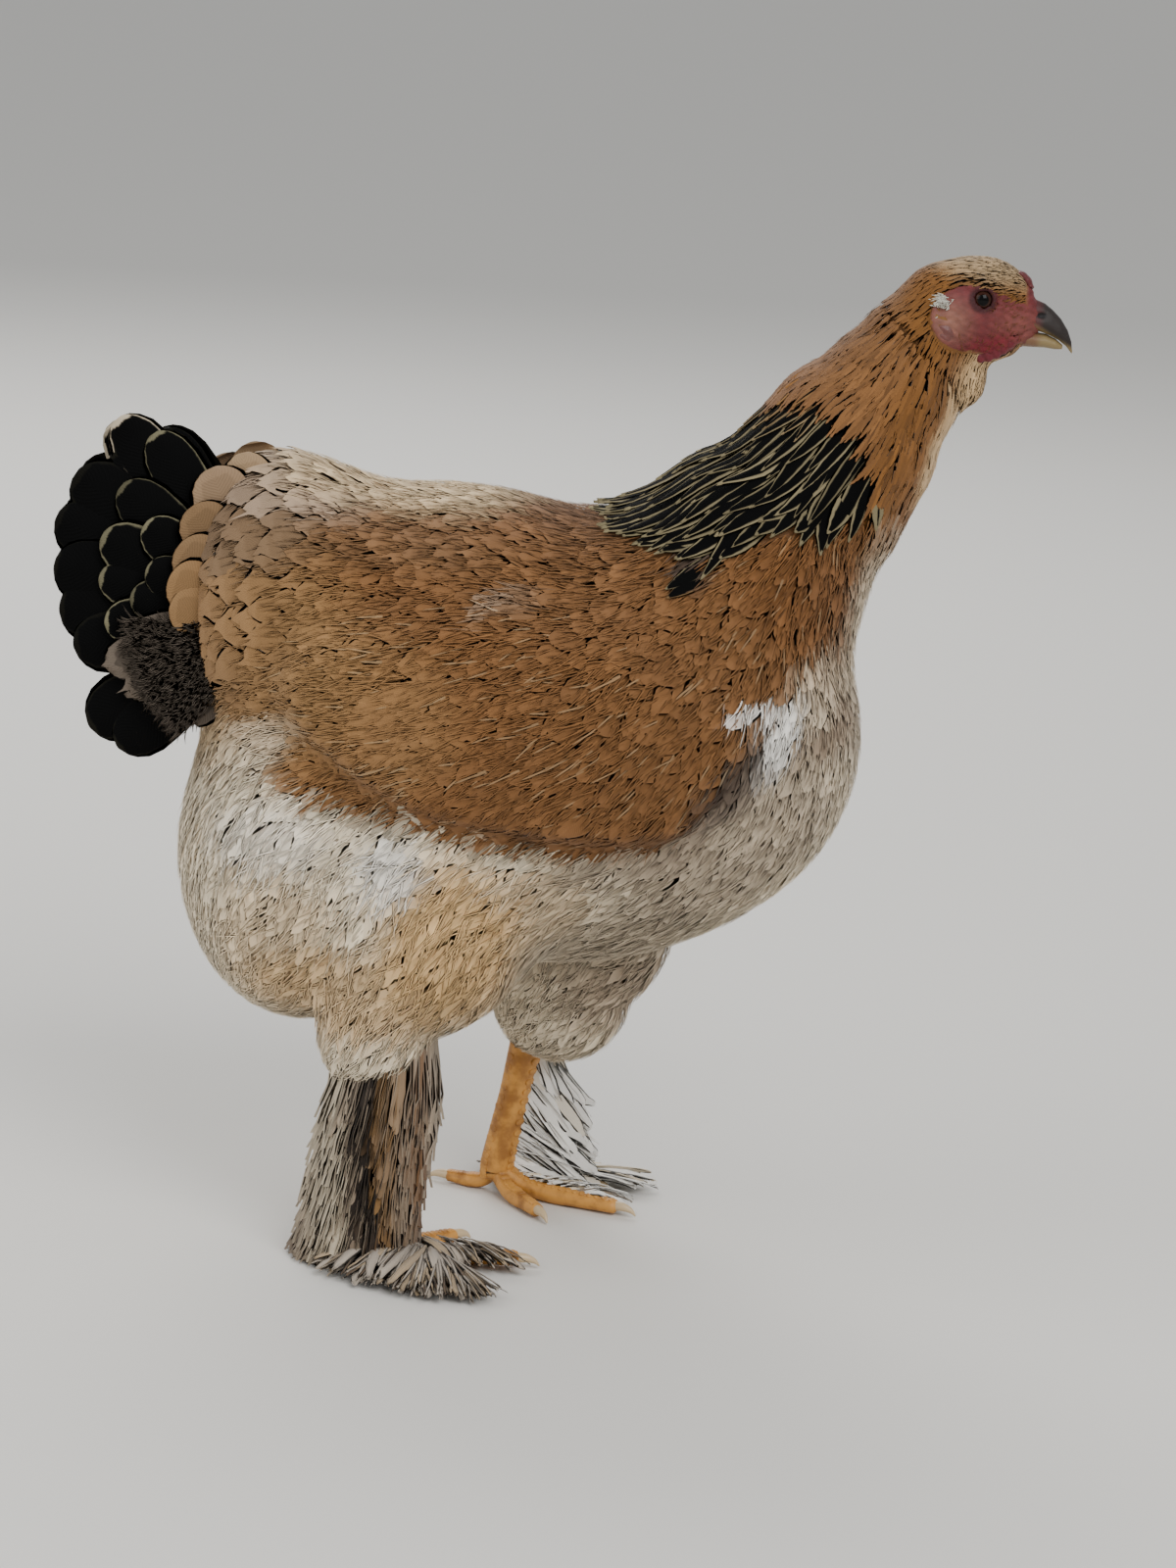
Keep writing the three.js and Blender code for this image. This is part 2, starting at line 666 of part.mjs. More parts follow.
let head = largest(headBall.intersect(halfSpace(HEAD_CUT, 1)));
head = head
  .subtract(upperGrown)
  .subtract(lowerGrown)
  .subtract(eyeHollow(-1, GAP))
  .subtract(eyeHollow(1, GAP));
head = largest(head);
addNode("head", head, COLOURS.face, 0.6);
const headGrown = swollen(headBall, GAP);
addNode("comb", largest(comb.subtract(headGrown).subtract(upperGrown)), COLOURS.comb, 0.5);
for (const [name, side] of Object.entries(SIDES)) {
  addNode(`wattle_${name}`, wattle(side, 0).subtract(headGrown).subtract(lowerGrown), COLOURS.comb, 0.5);
  addNode(`earlobe_${name}`, earlobe(side, 0).subtract(headGrown), COLOURS.face, 0.55);
  addNode(`eye_${name}`, eyeHollow(side, 0), COLOURS.eye, 0.1);
}

// Wings: a pad over the folded arm, with tiers of coverts over the secondaries and primaries
const WING_PAD = { at: [52, 283], reach: [84, 60], tilt: -6, rim: 3.2, crown: 9 };
function wingPad(side) {
  const spokes = 16;
  const rings = [0.4, 0.78, 1];
  const turn = THREE.MathUtils.degToRad(WING_PAD.tilt);
  const spot = (share, spoke) => {
    const a = (spoke / spokes) * Math.PI * 2;
    const u = Math.cos(a) * WING_PAD.reach[0] * share;
    const v = Math.sin(a) * WING_PAD.reach[1] * share;
    const x = WING_PAD.at[0] + u * Math.cos(turn) - v * Math.sin(turn);
    const z = WING_PAD.at[1] + u * Math.sin(turn) + v * Math.cos(turn);
    return [x, z];
  };
  const ring = (share, lift) =>
    Array.from({ length: spokes }, (_, s) => flank(...spot(share, s), side, lift));
  const outer = rings.map((share) => ring(share, WING_PAD.rim + (1 - share * share) * WING_PAD.crown));
  const inner = [...rings].reverse().map((share) => ring(share, -SINK));
  return loft([...outer, ...inner]);
}

// One wing feather in the side view, from its root to its tip, bending down by `sag`.
function wingFeather(side, root, tip, lifts, half, sag = 0, outline = ROUND_TIP) {
  const place = (t) =>
    flank(
      mix(root[0], tip[0], t),
      mix(root[1], tip[1], t) - sag * Math.sin(t * Math.PI),
      side,
      mix(lifts[0], lifts[1], t),
    );
  return vane({ place, facing: (t) => gradient(birdField, place(t)), half, outline, thick: 1, bow: 0 });
}

// Each tier: the first and last root and tip in the side view, feather count, half width, lifts.
const WING_TIERS = [
  {
    from: [[64, 262], [26, 222]],
    to: [[-4, 298], [-122, 268]],
    count: 7, half: 12.6, lifts: [-1, 4.1], sag: 3.2,
  },
  {
    from: [[84, 272], [62, 224]],
    to: [[4, 322], [-72, 306]],
    count: 5, half: 13, lifts: [2, 9], sag: 2,
  },
  {
    from: [[100, 292], [90, 240]],
    to: [[34, 334], [-26, 324]],
    count: 5, half: 12.5, lifts: [3, 12], sag: 1,
  },
];

function wing(side) {
  const pieces = [wingPad(side)];
  for (const tier of WING_TIERS)
    for (let n = 0; n < tier.count; n++) {
      const t = tier.count > 1 ? n / (tier.count - 1) : 0;
      const root = [0, 1].map((c) => mix(tier.from[0][c], tier.to[0][c], t));
      const tip = [0, 1].map((c) => mix(tier.from[1][c], tier.to[1][c], t));
      const stack = (n % 2) * 1.7;
      const lifts = [tier.lifts[0], tier.lifts[1] + stack];
      pieces.push(wingFeather(side, root, tip, lifts, tier.half, tier.sag));
    }
  return join(pieces).subtract(trunkGrown).subtract(neckClear);
}

// Space that the hackle takes, grown by the gap, so that the wing's top edge keeps clear of it
const neckClear = grown(neck);
function grown(solid) {
  const offsets = [
    [GAP, 0, 0],
    [-GAP, 0, 0],
    [0, GAP, 0],
    [0, -GAP, 0],
    [0, 0, GAP],
    [0, 0, -GAP],
  ];
  return wasm.Manifold.union(offsets.map((by) => solid.translate(by)));
}
for (const [name, side] of Object.entries(SIDES))
  addNode(`wing_${name}`, largest(wing(side)), COLOURS.buff);

// Tail: two fans that meet in a ridge, black quills under two tiers of coverts. Turns are from
// straight back, in degrees; reach is from the tail's root to each tip.
const TAIL_ROOT = [-112, 0, 306];
const TAIL_TOP = 62;
const TAIL_LOW = -44;
const TAIL_CORE = 84;
const TAIL_TIERS = [
  {
    turns: [53, 38, 23, 8, -7, -22, -37],
    reach: [107, 114, 117, 115, 111, 107, 104],
    half: 17, from: 52, off: -5, lift: 0,
  },
  {
    turns: [58, 40, 22, 4, -14, -32],
    reach: [98, 100, 99, 97, 94, 89],
    half: 17, from: 46, off: -3, lift: 5,
  },
  {
    turns: [49, 30, 11, -8, -27],
    reach: [80, 80, 78, 75, 71],
    half: 15, from: 34, off: -3, lift: 6.5,
  },
];

// How far the fan's side lies from the middle plane, at a turn and a distance from the root.
function tailSide(turn, reach) {
  const share = (TAIL_TOP - turn) / (TAIL_TOP - TAIL_LOW);
  return mix(mix(26, 36, share), mix(7, 34, share), THREE.MathUtils.clamp((reach - 40) / 70, 0, 1));
}

function tailPoint(side, turn, reach, y) {
  const a = THREE.MathUtils.degToRad(turn);
  const [x, , z] = TAIL_ROOT;
  return new THREE.Vector3(x - Math.cos(a) * reach, side * y, z + Math.sin(a) * reach);
}

function tailFeather(side, tier, n) {
  const turn = tier.turns[n];
  const stack = (n % 2) * 1.7;
  const reachAt = (t) => mix(tier.from, tier.reach[n], t);
  const out = (t) => mix(tier.off - SINK, tier.lift, t) + stack * t;
  const place = (t) =>
    tailPoint(side, turn, reachAt(t), tailSide(turn, reachAt(t)) + out(t));
  const facing = () => new THREE.Vector3(0, side, 0.35 * Math.cos(THREE.MathUtils.degToRad(turn)));
  return vane({ place, facing, half: tier.half, thick: 1, bow: 0 });
}

function tailCore(side) {
  const rings = [];
  for (let turn = TAIL_TOP; turn >= TAIL_LOW - 1; turn -= (TAIL_TOP - TAIL_LOW) / 8)
    rings.push([
      tailPoint(side, turn, 20, -2),
      tailPoint(side, turn, 20, 20),
      tailPoint(side, turn, 50, tailSide(turn, 50)),
      tailPoint(side, turn, 70, tailSide(turn, 70) - 0.5),
      tailPoint(side, turn, TAIL_CORE, tailSide(turn, TAIL_CORE) - 4),
      tailPoint(side, turn, TAIL_CORE, -2),
    ]);
  return loft(rings);
}

function tail(side) {
  const pieces = [tailCore(side)];
  for (const tier of TAIL_TIERS)
    for (let n = 0; n < tier.turns.length; n++) pieces.push(tailFeather(side, tier, n));
  const half = halfSpace({ at: [0, 0, 0], facing: [0, side, 0] }, 1);
  return join(pieces).subtract(trunkGrown).intersect(half);
}
for (const [name, side] of Object.entries(SIDES)) addNode(`tail_${name}`, tail(side), COLOURS.black, 0.6);

// Legs
const thighStations = (name, side) =>
  THIGH[name].map(({ at, r, w }) => ({ at: [at[0], side * at[1], at[2]], r, w }));

function shankBone(name, side, grow) {
  const hock = mirrored(HOCK[name], side);
  const ankle = mirrored(ANKLE[name], side);
  const top = hock.clone().addScaledVector(hock.clone().sub(ankle).normalize(), grow);
  return limb(
    [top, hock.clone().lerp(ankle, 0.4), ankle],
    [SHANK_R + 1.2 + grow, SHANK_R + grow, SHANK_R + grow],
    9,
  );
}

function shank(name, side) {
  return join([shankBone(name, side, 0), ...legFeathers(name, side)]);
}

// Rows of feathers down the outside and back of the shank. Turns are round the shank from straight
// out towards the back, in degrees; flare leans each feather away from it.
const LEG_ROWS = {
  right: [
    { z: 82, turns: [-52, 12, 76], length: 44, half: 14.5, flare: 0.52 },
    { z: 64, turns: [-30, 34, 98], length: 42, half: 14, flare: 0.56 },
    { z: 46, turns: [-56, 8, 72], length: 40, half: 13, flare: 0.62 },
  ],
  left: [
    { z: 71, turns: [-60, 4, 68], length: 42, half: 14, flare: 0.55 },
    { z: 48, turns: [-40, 24, 88], length: 42, half: 13, flare: 0.62 },
  ],
};
const FLOOR_GAP = 1.2; // how far feathers keep above the floor

function legFeathers(name, side) {
  const hock = mirrored(HOCK[name], side);
  const ankle = mirrored(ANKLE[name], side);
  return LEG_ROWS[name].flatMap((row) =>
    row.turns.map((turn, n) => {
      const a = THREE.MathUtils.degToRad(turn);
      const away = new THREE.Vector3(-Math.sin(a), side * Math.cos(a), 0);
      const start = hock.clone().lerp(ankle, (hock.z - row.z) / (hock.z - ankle.z));
      start.addScaledVector(away, SHANK_R - SINK + (n % 2) * 0.8);
      const place = (t) => {
        const p = start.clone().addScaledVector(away, row.length * row.flare * (0.9 * t + 0.25 * t * t));
        p.z -= row.length * (0.95 * t - 0.12 * t * t);
        p.z = Math.max(p.z, FLOOR_GAP + 1);
        return p;
      };
      const facing = () => away.clone().add(new THREE.Vector3(0, 0, row.flare));
      return vane({ place, facing, half: row.half, thick: 0.9, bow: 0 });
    }),
  );
}

// Feathers of the outer and middle toes: share along the toe, heading and length.
const TOE_FEATHERS = {
  right: [
    { toe: "outer", at: 0.22, heading: 128, length: 36 },
    { toe: "outer", at: 0.45, heading: 98, length: 33 },
    { toe: "outer", at: 0.68, heading: 70, length: 28 },
    { toe: "middle", at: 0.55, heading: 42, length: 24 },
  ],
  left: [
    { toe: "outer", at: 0.22, heading: 112, length: 32 },
    { toe: "outer", at: 0.45, heading: 82, length: 38 },
    { toe: "outer", at: 0.6, heading: 58, length: 44 },
    { toe: "middle", at: 0.55, heading: 42, length: 26 },
  ],
};

function toeFeathers(name, side) {
  return TOE_FEATHERS[name].map(({ toe, at, heading, length }, n) => {
    const { ankle, out } = toePath(name, side, TOES[toe]);
    const start = ankle.clone().addScaledVector(out, at * TOES[toe].length);
    start.z = TOES[toe].r * 1.25;
    const a = THREE.MathUtils.degToRad(heading + FOOT_YAW[name]);
    const away = new THREE.Vector3(Math.cos(a), side * Math.sin(a), 0);
    const place = (t) => {
      const p = start.clone().addScaledVector(away, length * t);
      p.z += 3.5 * Math.sin(t * Math.PI * 0.8) - 4.6 * t + (n % 2) * 1.2;
      return p;
    };
    return vane({ place, facing: () => new THREE.Vector3(0, 0, 1), half: 9, thick: 0.9, bow: 0 });
  });
}

function toePath(name, side, toe) {
  const ankle = mirrored(ANKLE[name], side);
  const heading = THREE.MathUtils.degToRad(toe.heading + FOOT_YAW[name]);
  const out = new THREE.Vector3(Math.cos(heading), side * Math.sin(heading), 0);
  return { ankle, out };
}

function toeLimb(name, side, toe) {
  const { ankle, out } = toePath(name, side, toe);
  const shares = [0, 0.25, 0.5, 0.75, 1];
  const knuckle = [1.15, 0.95, 1.08, 0.92, 0.8];
  const rise = [9, 1.6, 0, 0, 0];
  const points = shares.map((t, i) => {
    const p = ankle.clone().addScaledVector(out, t * toe.length);
    p.z = toe.r * 0.9 + rise[i];
    return p;
  });
  return limb(points, knuckle.map((k) => k * toe.r), 6);
}

function claw(name, side, toe) {
  const { ankle, out } = toePath(name, side, toe);
  const at = (along, z) => {
    const p = ankle.clone().addScaledVector(out, toe.length + GAP + along);
    p.z = z;
    return p;
  };
  const points = [at(0, 3.6), at(CLAW_LENGTH * 0.45, 3.4), at(CLAW_LENGTH * 0.8, 2), at(CLAW_LENGTH, 0.7)];
  return limb(points, [2.6, 2, 1.2, 0.45], 6);
}

const shanks = {};
for (const [name, side] of Object.entries(SIDES)) {
  const ankle = mirrored(ANKLE[name], side);
  const pad = ellipsoidSolid([ankle.x + 3, ankle.y, 7.6], [11.5, 10, 9], 9, 6);
  const toes = Object.values(TOES).map((toe) => toeLimb(name, side, toe));
  const floor = halfSpace({ at: [0, 0, -GAP / 2], facing: [0, 0, 1] }, 1);
  const footTop = halfSpace({ at: [0, 0, ANKLE[name][2]], facing: [0, 0, 1] }, -1);
  const foot = join([pad, ...toes, ...toeFeathers(name, side)]);
  addNode(`foot_${name}`, foot.intersect(floor).intersect(footTop), COLOURS.leg, 0.6);
  const shankTop = halfSpace({ at: [0, 0, ANKLE[name][2]], facing: [0, 0, 1] }, 1);
  shanks[name] = largest(shank(name, side).intersect(shankTop));
  addNode(`shank_${name}`, shanks[name], COLOURS.leg, 0.6);
  for (const [toeName, toe] of Object.entries(TOES))
    addNode(`claw_${toeName}_${name}`, claw(name, side, toe), COLOURS.claw, 0.4);
}

// Thigh fluff, cut clear of the trunk, the wing over it and the shank that hangs from it
for (const [name, side] of Object.entries(SIDES)) {
  const stations = thighStations(name, side);
  const field = (p) => tube(p, stations);
  const low = [-120, side > 0 ? -30 : -132, 40];
  const high = [120, side > 0 ? 132 : 30, 290];
  const thigh = polygonise(field, low, high, THIGH_CELL);
  const inside = halfSpace({ at: [0, side * 3, 0], facing: [0, side, 0] }, 1);
  const top = halfSpace({ at: [0, 0, 212], facing: [0, 0, 1] }, -1);
  const bone = shankBone(name, side, GAP * 1.2);
  const cut = largest(
    thigh.intersect(inside).intersect(top).subtract(trunkGrown).subtract(bone),
  );
  addNode(`thigh_${name}`, cut, COLOURS.cream);
}

// The bird stands with the middle of its outline over the origin.
const hen = new THREE.Group();
hen.add(bird);
const bounds = new THREE.Box3().setFromObject(bird);
const middle = bounds.getCenter(new THREE.Vector3());
bird.position.set(-middle.x, -middle.y, -bounds.min.z);

export default hen;
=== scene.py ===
"""A buff Brahma hen, life size, in mid stride: skin, plumage, head and feet around its solid frame."""
import math
from collections import namedtuple
from functools import cache
from itertools import product

import bpy
import numpy as np
from bpy.props import FloatProperty, FloatVectorProperty, IntProperty, PointerProperty
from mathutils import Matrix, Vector
from mathutils.kdtree import KDTree


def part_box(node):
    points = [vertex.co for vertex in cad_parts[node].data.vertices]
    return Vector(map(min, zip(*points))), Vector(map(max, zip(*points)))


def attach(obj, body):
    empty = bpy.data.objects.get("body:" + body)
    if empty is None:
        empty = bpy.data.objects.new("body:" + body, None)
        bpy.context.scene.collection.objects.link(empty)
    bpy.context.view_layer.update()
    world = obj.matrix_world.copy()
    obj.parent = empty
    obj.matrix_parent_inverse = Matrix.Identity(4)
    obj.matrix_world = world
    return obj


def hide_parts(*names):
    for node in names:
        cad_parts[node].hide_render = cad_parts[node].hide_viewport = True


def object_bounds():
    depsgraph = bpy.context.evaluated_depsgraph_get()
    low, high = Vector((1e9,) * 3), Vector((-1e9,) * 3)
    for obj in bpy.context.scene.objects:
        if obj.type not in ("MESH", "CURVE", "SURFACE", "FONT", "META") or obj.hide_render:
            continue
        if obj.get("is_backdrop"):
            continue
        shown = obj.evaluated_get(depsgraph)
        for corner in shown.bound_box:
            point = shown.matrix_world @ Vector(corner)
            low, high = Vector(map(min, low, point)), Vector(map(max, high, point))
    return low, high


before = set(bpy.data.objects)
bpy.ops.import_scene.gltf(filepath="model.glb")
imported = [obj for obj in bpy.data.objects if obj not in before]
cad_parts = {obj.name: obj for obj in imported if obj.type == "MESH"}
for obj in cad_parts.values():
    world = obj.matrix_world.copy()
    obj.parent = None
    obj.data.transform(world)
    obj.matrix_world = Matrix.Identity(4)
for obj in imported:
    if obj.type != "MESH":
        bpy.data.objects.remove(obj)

bl_info = {
    "name": "Brahma hen",
    "version": (1, 0, 0),
    "blender": (4, 5, 0),
    "location": "3D View > Sidebar > Hen",
    "description": "Builds the skin, plumage, head, feet and stage of a buff Brahma hen",
    "category": "Object",
}

# Shapes are in millimetres, +X towards the bill, +Y to the bird's left, +Z up. SHIFT puts them in the frame.
EYE = (211, 14.6, 486.5)
EYE_RADIUS, SOCKET_RADIUS = 4.75, 4.7
LID_STRETCH = 1.08
SHIFT = 500 * (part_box("eye_left")[0].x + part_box("eye_left")[1].x) - EYE[0]
SIDES = {"right": -1, "left": 1}

# Plumage outline of the body: centre, radii, nose-up pitch in degrees.
BODY = [
    ((20, 0, 254), (148, 104, 110), 0),
    ((104, 0, 268), (66, 76, 80), 0),
    ((-35, 0, 312), (86, 80, 61), 0),
    ((-98, 0, 300), (58, 76, 74), 0),
    ((-116, 0, 336), (37, 46, 45), 0),
    ((-88, 0, 191), (65, 90, 86), 0),
]
BODY_BLEND = 24
# Neck from crop to nape: place, radius across it, half width.
NECK = [
    (70, 0, 300, 66, 74), (115, 0, 350, 58, 60), (138, 0, 381, 47.5, 47), (155, 0, 410, 43, 39),
    (172, 0, 437, 34, 31), (182, 0, 459, 27, 24), (196, 0, 476, 22, 19),
]
SKULL = [
    ((203, 0, 481), (29, 17.5, 21), 0),
    ((224, 0, 477), (17, 11.5, 14), -8),
    ((212, 0, 466), (17, 11, 9), -6),
    ((214, 0, 487), (20, 12.5, 17.5), -6),
    ((207, 0, 449), (9.5, 8, 14), 14),
]
SKULL_BLEND = 9
# Thighs, with the same five values at each place as the neck.
THIGH = {
    "right": [(-20, 50, 205, 66, 50), (-34, 55, 170, 58, 44), (-44, 58, 140, 36, 31), (-48, 60, 112, 27, 24)],
    "left": [(10, 50, 205, 66, 50), (40, 55, 150, 54, 42), (40, 56, 110, 35, 30)],
}
THIGH_BLEND = 14
HOCK = {"right": (-42, 58, 118), "left": (26, 57, 92)}
ANKLE = {"right": (-36, 60, 17), "left": (15, 60, 17)}
TOES = {  # heading, length, radius
    "hind": (176, 26, 4.2), "inner": (-46, 45, 4.8), "middle": (-6, 66, 5.2), "outer": (30, 50, 4.6),
}
FOOT_YAW = {"right": 4, "left": -14}
TAIL_ROOT = (-112, 0, 306)
TAIL_TOP, TAIL_LOW = 62, -44
# The folded wing is an oval with squarer corners, narrower behind. It stands out of the body by its swell.
WING_AT, WING_PITCH, WING_REACH, WING_ABOVE, WING_BELOW, WING_TAPER = (10, 277), -5, 122, 66, 53, 0.72
WING_CORNER, WING_SWELL = 2.6, 7.5
# How deep the skin lies under the plumage.
TRUNK_COAT, NECK_COAT, HEAD_COAT = 4.2, 2.8, 1.0
# The way from the neck to the head, and the planes across it where the two skins end, one inside the other.
HEAD_WAY = np.array([0.69, 0, 0.727])
NECK_END, HEAD_START = (196, 0, 476), (186, 0, 466)
# The face, the same on both sides: the brow, the cheek, the hollow of the ear, the corner of the mouth, and
# the middle and bow of the folds behind it.
BROW = [(201, 13.6, 494, 3.2, 3.2), (213, 13.2, 493.6, 3.2, 3.2), (224, 10.5, 490, 2.6, 2.6)]
CHEEK = ((204, 12, 472), (13, 5.2, 8), 18)
EAR_HOLLOW = ((191.5, 20.6, 481), (2.8, 3.4, 2.4))
MOUTH = [(219, 10.6, 468.5, 0.6, 0.6), (228, 9.6, 470.6, 0.7, 0.7), (238, 7.6, 472.6, 0.8, 0.8)]
FOLDS = [(222, 477, 3.0), (215, 474, 3.4), (208, 468, 3.2)]
# Lids and the grooves round them: distance from the middle of the eye, how far in, half thickness and blend.
LIDS = [(5.3, 0.0, 0.8, 1.2), (8.6, 1.6, 0.9, 1.6)]
LID_GROOVES = [(6.9, 0.4, 0.4, 0.9), (10.4, 2.2, 0.3, 0.9)]
# Where the feathers lie, in the side view: x, z and degrees below straight back.
LIE = np.array([
    (205, 502, 12), (226, 494, 14), (178, 486, 42), (198, 458, 66), (206, 444, 84),
    (140, 440, 47), (160, 410, 57), (190, 400, 76), (70, 385, 32), (110, 362, 45), (165, 350, 72),
    (0, 372, 6), (-60, 376, 2), (-120, 386, 8), (-152, 352, 22), (-140, 320, 12), (-152, 280, 34),
    (-142, 200, 62), (-80, 290, 14), (0, 280, 24), (80, 280, 42), (95, 322, 48), (160, 310, 74),
    (132, 260, 62), (130, 190, 42), (60, 140, 18), (0, 205, 42), (-30, 160, 62), (-92, 150, 60),
    (42, 140, 68),
], float)
# Lower edge of the hackle, x and z, and the front edge of its black feathers, z and x.
HACKLE_EDGE = np.array([(30, 378), (44, 359), (82, 350), (126, 365), (163, 376), (190, 376)], float)
HACKLE_FRONT = np.array([(340, 161), (368, 167), (395, 171), (418, 171), (439, 158), (471, 150)], float)
# Front edge of the pale stripe on the throat, z and x.
THROAT_FRONT = np.array([(380, 191), (417, 199), (432, 206), (440, 212), (456, 217)], float)
# Lower edge of the folded wing and, behind it, of the brown flank.
WING_LOW = np.array([
    (-180, 290), (-156, 277), (-125, 249), (-93, 229), (-27, 224), (29, 215),
    (66, 217), (92, 232), (118, 256), (140, 264), (190, 268),
], float)


def mix(a, b, t):
    return a + (b - a) * t


def ease(low, high, x):
    """0 below low, 1 above high and smooth between."""
    t = np.clip((x - low) / (high - low), 0, 1)
    return t * t * (3 - 2 * t)


def unit(v):
    return v / np.maximum(np.linalg.norm(v, axis=-1, keepdims=True), 1e-9)


def ellipsoid(p, at, radii, pitch=0.0):
    c, s = math.cos(math.radians(pitch)), math.sin(math.radians(pitch))
    dx, dy, dz = p[:, 0] - at[0], p[:, 1] - at[1], p[:, 2] - at[2]
    x, y, z = (dx * c + dz * s) / radii[0], dy / radii[1], (dz * c - dx * s) / radii[2]
    k0 = np.sqrt(x * x + y * y + z * z)
    k1 = np.sqrt((x / radii[0]) ** 2 + (y / radii[1]) ** 2 + (z / radii[2]) ** 2)
    return k0 * (k0 - 1) / np.maximum(k1, 1e-9)


def tube(p, path):
    best = None
    for a, b in zip(path[:-1], path[1:]):
        a, b = np.array(a, float), np.array(b, float)
        run = b[:3] - a[:3]
        t = np.clip((p - a[:3]) @ run / (run @ run), 0, 1)
        off = p - a[:3] - t[:, None] * run
        r, w = mix(a[3], b[3], t), mix(a[4], b[4], t)
        f = np.sqrt(off[:, 0] ** 2 + off[:, 2] ** 2 + (off[:, 1] * r / w) ** 2) - r
        best = f if best is None else np.minimum(best, f)
    return best


def blend(a, b, width):
    h = np.maximum(width - np.abs(a - b), 0) / width
    return np.minimum(a, b) - h * h * width / 4


def carve(f, groove, width):
    """Cuts a groove into a shape and rounds its edges."""
    return -blend(-f, groove, width)


def mirrored(row, side):
    return (row[0], side * row[1]) + tuple(row[2:])


def on_line(line, x):
    """Reads a line of the side view, given as rows of two values, at x."""
    return np.interp(x, line[:, 0], line[:, 1])


def past_plane(p, at):
    """How far points lie past a plane across the neck, towards the head."""
    return (p - at) @ HEAD_WAY


def eye_ring(p):
    """Distance from the middle of the eye in the side view, in the almond shape of the lids."""
    return np.hypot((p[:, 0] - EYE[0]) / LID_STRETCH, p[:, 2] - EYE[2])
def wing_share(p):
    """1 well inside the folded wing, 0 outside it, in the side view."""
    turn = math.radians(WING_PITCH)
    dx, dz = p[:, 0] - WING_AT[0], p[:, 2] - WING_AT[1]
    u = dx * math.cos(turn) + dz * math.sin(turn)
    v = dz * math.cos(turn) - dx * math.sin(turn)
    half = np.where(v > 0, WING_ABOVE, WING_BELOW) * mix(1, WING_TAPER, ease(-30, -125, u))
    q = (np.abs(u / WING_REACH) ** WING_CORNER + np.abs(v / half) ** WING_CORNER) ** (1 / WING_CORNER)
    return ease(1.0, mix(0.88, 0.5, ease(0, 50, v)), q) * ease(35, 60, np.abs(p[:, 1]))


def plumage_shape(p):
    """Outline of the plumage: below 0 inside, in millimetres."""
    f = np.full(len(p), 1e3)
    for at, radii, pitch in BODY:
        f = blend(f, ellipsoid(p, at, radii, pitch), BODY_BLEND)
    f = blend(f, tube(p, NECK), BODY_BLEND)
    near = (p[:, 0] > 150) & (p[:, 2] > 420)
    for at, radii, pitch in SKULL:
        f[near] = blend(f[near], ellipsoid(p[near], at, radii, pitch), SKULL_BLEND)
    low = p[:, 2] < 300
    for name, side in SIDES.items():
        f[low] = blend(f[low], tube(p[low], [mirrored(s, side) for s in THIGH[name]]), THIGH_BLEND)
    return f - WING_SWELL * wing_share(p)


def coat_depth(p):
    """How deep the skin lies under the plumage, none where it is bare."""
    neck = ease(330, 420, p[:, 2]) * ease(60, 120, p[:, 0])
    head = ease(178, 196, p[:, 0]) * ease(440, 462, p[:, 2])
    return mix(mix(TRUNK_COAT, NECK_COAT, neck), HEAD_COAT, head) * (1 - bare_share(p))


def bare_share(p):
    """1 on the bare red skin of the face and 0 under feathers."""
    x, y, z = p[:, 0], np.abs(p[:, 1]), p[:, 2]
    front = ease(200, 236, x)
    q = np.hypot((x - 214) / 27.5, (z - mix(477, 473, front)) / mix(18.5, 17, front))
    top = ease(0, 3, mix(493.5, 489, ease(205, 232, x)) - z + 0.45 * np.maximum(y - 12, 0))
    low = ease(456.5, 459.5, z - 3.0 * ease(228, 206, x))
    face = ease(1.03, 0.94, q) * top * low * ease(5, 8, y)
    bridge = ease(231, 234, x)
    return np.maximum(face, bridge)


